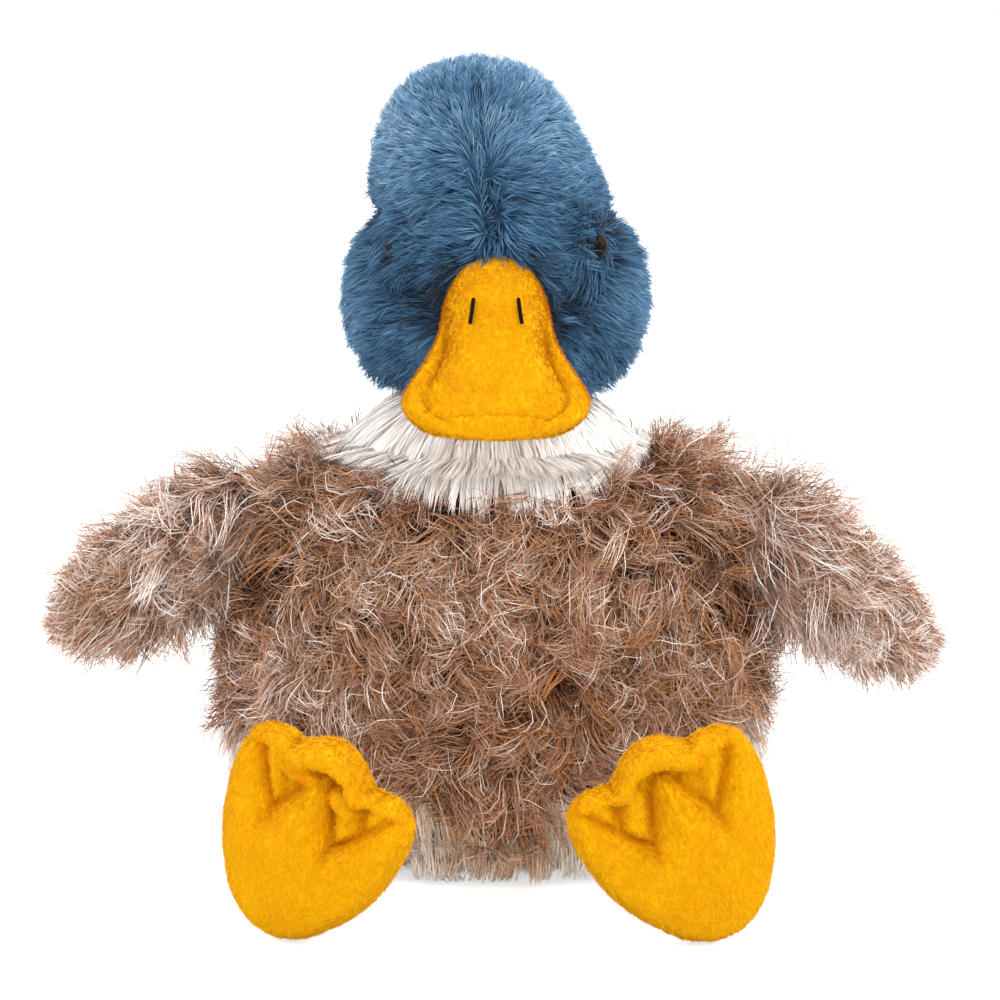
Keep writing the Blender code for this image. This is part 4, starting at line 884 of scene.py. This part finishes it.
def footPoints(places, turns, sideName):
    look = footShape
    column = (turns / (2 * math.pi)) % 1.0 * len(footOutline)
    first = column.astype(int) % len(footOutline)
    part = smoothStep(0, 1, column - column.astype(int))
    outline = footOutline[first] * (1 - part) + footOutline[(first + 1) % len(footOutline)] * part
    spread = np.sin(math.pi * places)
    u, w = outline * spread * np.cos(turns), outline * spread * np.sin(turns)
    cushion = np.sqrt(np.clip(1 - spread ** 3, 0, 1))
    web = inWebs(u, w)
    level = np.where(web, np.maximum(look["web"] * np.minimum(1, 1.5 * cushion), barHeight(u, w, folds)),
                     look["pad"] * (0.25 + 0.75 * cushion))
    nearest, depth = lineDistance(u, w, creases)
    reach = np.clip(nearest / np.where(web, look["webRound"], look["padRound"]), 0, 1)
    pinch = (0.55 - 0.55 * np.sqrt(np.clip(1 - (1 - reach) ** 2, 0, 1)) + 0.45 * (1 - reach) ** 2) * depth
    front = level + (look["creaseFloor"] - level) * pinch
    front = np.maximum(front, barHeight(u, w, rolls + extraRolls[sideName]))
    front *= np.sqrt(np.clip(1 - ((spread - 0.86) / 0.14).clip(0, 1) ** 2, 0, 1))
    y = np.where(places < 0.5, look["back"] * cushion, -front)
    return np.stack([u * look["width"] / 2, y, w * look["height"] / 2], axis=-1)


legShape = {"pile": 12000, "inset": 0.0006, "into": 0.009, "from": 0.016}
for index, (sideName, side) in enumerate((("left", 1), ("right", -1))):
    names = [f"leg_{sideName}_{part}" for part in ("top_panel", "under_panel", "stuffing")]
    label = sideName.capitalize()
    bm = wrapped(names, 4, legShape["inset"], 1)
    hip = Vector(jointPlaces[f"leg_{sideName}_swing"])
    way = (hip - Vector(jointPlaces[f"foot_{sideName}_flex"])).normalized()
    levels = np.array([(vert.co - hip).dot(way) for vert in bm.verts])
    pushes = legShape["into"] * smoothStep(levels.max() - legShape["from"], levels.max(), levels)
    for vert, push in zip(bm.verts, pushes):  # the gathered end goes on into the coat
        vert.co += way * push
    skin = placeSkin(f"legSkin{label}", bm, yellowCloth, f"leg_{sideName}", names)
    velboaPile(f"legPile{label}", skin, legShape["pile"],
               lambda p: np.tile([0.0, -1.0, 0.01], (len(p), 1)), f"leg_{sideName}", 61 + index)
    names = [f"foot_{sideName}_{part}" for part in ("top_panel", "sole_panel", "stuffing")]
    angle = math.radians(footShape["turns"][index])
    soleWay = np.array([math.sin(angle), -math.cos(angle), 0.0])
    middle = np.array(jointPlaces[f"foot_{sideName}_flex"]) + soleWay * footShape["soleReach"]
    middle[2] = footShape["centreHeight"]
    place = (Matrix.Translation(middle) @ Matrix.Rotation(angle, 4, "Z")
             @ Matrix.Diagonal((side, 1, 1, 1)))
    skin = placeSkin(f"footSkin{label}",
                     lofted(lambda places, turns: footPoints(places, turns, sideName),
                            footShape["columns"], footShape["rows"], place),
                     yellowCloth, f"foot_{sideName}", names)

    def footCreaseShade(roots):  # painted shade: deeper orange down in the creases
        local = (roots - middle) @ np.array(Matrix.Rotation(angle, 3, "Z"))
        u, w = local[:, 0] * side / (footShape["width"] / 2), local[:, 2] / (footShape["height"] / 2)
        nearest, depth = lineDistance(u, w, creases)
        near = np.exp(-(nearest / footShape["creaseReach"]) ** 2)
        return -footShape["creaseShade"] * depth * near * (local[:, 1] < 0)

    velboaPile(f"footPile{label}", skin, footShape["pile"],
               lambda p: np.tile([side * 0.5, -0.1, -1.0], (len(p), 1)), f"foot_{sideName}", 71 + index,
               footCreaseShade)
print("legs and feet dressed")

stage = {"floorSize": 6.0, "floorGrey": 0.78, "floorDrop": 0.0004, "glow": 0.64,
         "white": (1.0, 1.0, 1.0, 1.0), "sky": 1.0, "skyColour": (0.94, 0.97, 1.0, 1.0),
         "lampAim": (0.0, 0.0, 0.11)}
lamps = {  # place, size, power and colour of each
    "keyLamp": ((0.35, -1.1, 1.1), 0.8, 7.8, (1.0, 0.985, 0.96)),
    "fillLamp": ((0.0, -1.3, 0.12), 1.0, 5.5, (1.0, 0.98, 0.95)),
    "rightLamp": ((1.1, -0.15, 0.75), 0.8, 8.8, (1.0, 1.0, 1.0)),
    "leftLamp": ((-1.1, -0.15, 0.75), 0.8, 7.04, (1.0, 1.0, 1.0)),
    "topLamp": ((0.0, 0.3, 1.2), 0.8, 6.4, (0.97, 0.98, 1.0))}


def glow(tree, strength):
    node = addNode(tree, "ShaderNodeEmission", Strength=strength)
    node.inputs["Color"].default_value = stage["white"]
    return node.outputs["Emission"]


def forCameraRays(tree, others, seen, target):
    path = tree.nodes.new("ShaderNodeLightPath")
    mix = tree.nodes.new("ShaderNodeMixShader")
    tree.links.new(path.outputs["Is Camera Ray"], mix.inputs[0])
    tree.links.new(others, mix.inputs[1])
    tree.links.new(seen, mix.inputs[2])
    tree.links.new(mix.outputs["Shader"], target)


material, tree, shader = newTree("floorWhite")
shader.inputs["Base Color"].default_value = (stage["floorGrey"],) * 3 + (1.0,)
shader.inputs["Roughness"].default_value = 0.9
shader.inputs["Specular IOR Level"].default_value = 0.0
both = tree.nodes.new("ShaderNodeAddShader")  # lit floor plus glow reads white and keeps the shadow
tree.links.new(shader.outputs["BSDF"], both.inputs[0])
tree.links.new(glow(tree, stage["glow"]), both.inputs[1])
forCameraRays(tree, shader.outputs["BSDF"], both.outputs["Shader"],
              tree.nodes["Material Output"].inputs["Surface"])
bm = bmesh.new()
bmesh.ops.create_grid(bm, x_segments=2, y_segments=2, size=stage["floorSize"] / 2)
mesh = bpy.data.meshes.new("floor")
bm.to_mesh(mesh)
bm.free()
mesh.materials.append(material)
floor = bpy.data.objects.new("floor", mesh)
floor.location.z = -stage["floorDrop"]
bpy.context.scene.collection.objects.link(floor)

world = bpy.data.worlds.new("studio")
world.use_nodes = True
tree = world.node_tree
sky = tree.nodes["Background"]
sky.inputs["Color"].default_value = stage["skyColour"]
sky.inputs["Strength"].default_value = stage["sky"]
backdrop = addNode(tree, "ShaderNodeBackground", Color=stage["white"], Strength=1.0)
forCameraRays(tree, sky.outputs["Background"], backdrop.outputs["Background"],
              tree.nodes["World Output"].inputs["Surface"])
bpy.context.scene.world = world


for name, (place, size, power, colour) in lamps.items():
    lamp = bpy.data.lights.new(name, "AREA")
    lamp.size = size
    lamp.energy = power
    lamp.color = colour
    lampObject = bpy.data.objects.new(name, lamp)
    lampObject.location = place
    way = Vector(stage["lampAim"]) - Vector(place)
    lampObject.rotation_euler = way.to_track_quat("-Z", "Y").to_euler()
    bpy.context.scene.collection.objects.link(lampObject)
print("stage set")

view = {"distance": 1.1, "height": 0.1, "elevation": math.radians(10), "span": 0.290, "side": 1000,
        "centreColumn": 496, "floorRow": 853, "sensor": 36.0}  # rows and columns of the square photo
camera = bpy.data.cameras.new("photoCamera")
cameraObject = bpy.data.objects.new("photoCamera", camera)
cameraObject.location = (0.0, -view["distance"] * math.cos(view["elevation"]),
                         view["height"] + view["distance"] * math.sin(view["elevation"]))
cameraObject.rotation_euler = (math.pi / 2 - view["elevation"], 0.0, 0.0)
camera.sensor_width = view["sensor"]
camera.lens = camera.sensor_width * view["distance"] / view["span"]
aimRow = view["floorRow"] - view["side"] * view["height"] * math.cos(view["elevation"]) / view["span"]
camera.shift_x = 0.5 - view["centreColumn"] / view["side"]
camera.shift_y = aimRow / view["side"] - 0.5
bpy.context.scene.collection.objects.link(cameraObject)
bpy.context.scene.camera = cameraObject
bpy.context.scene.view_settings.view_transform = "Standard"
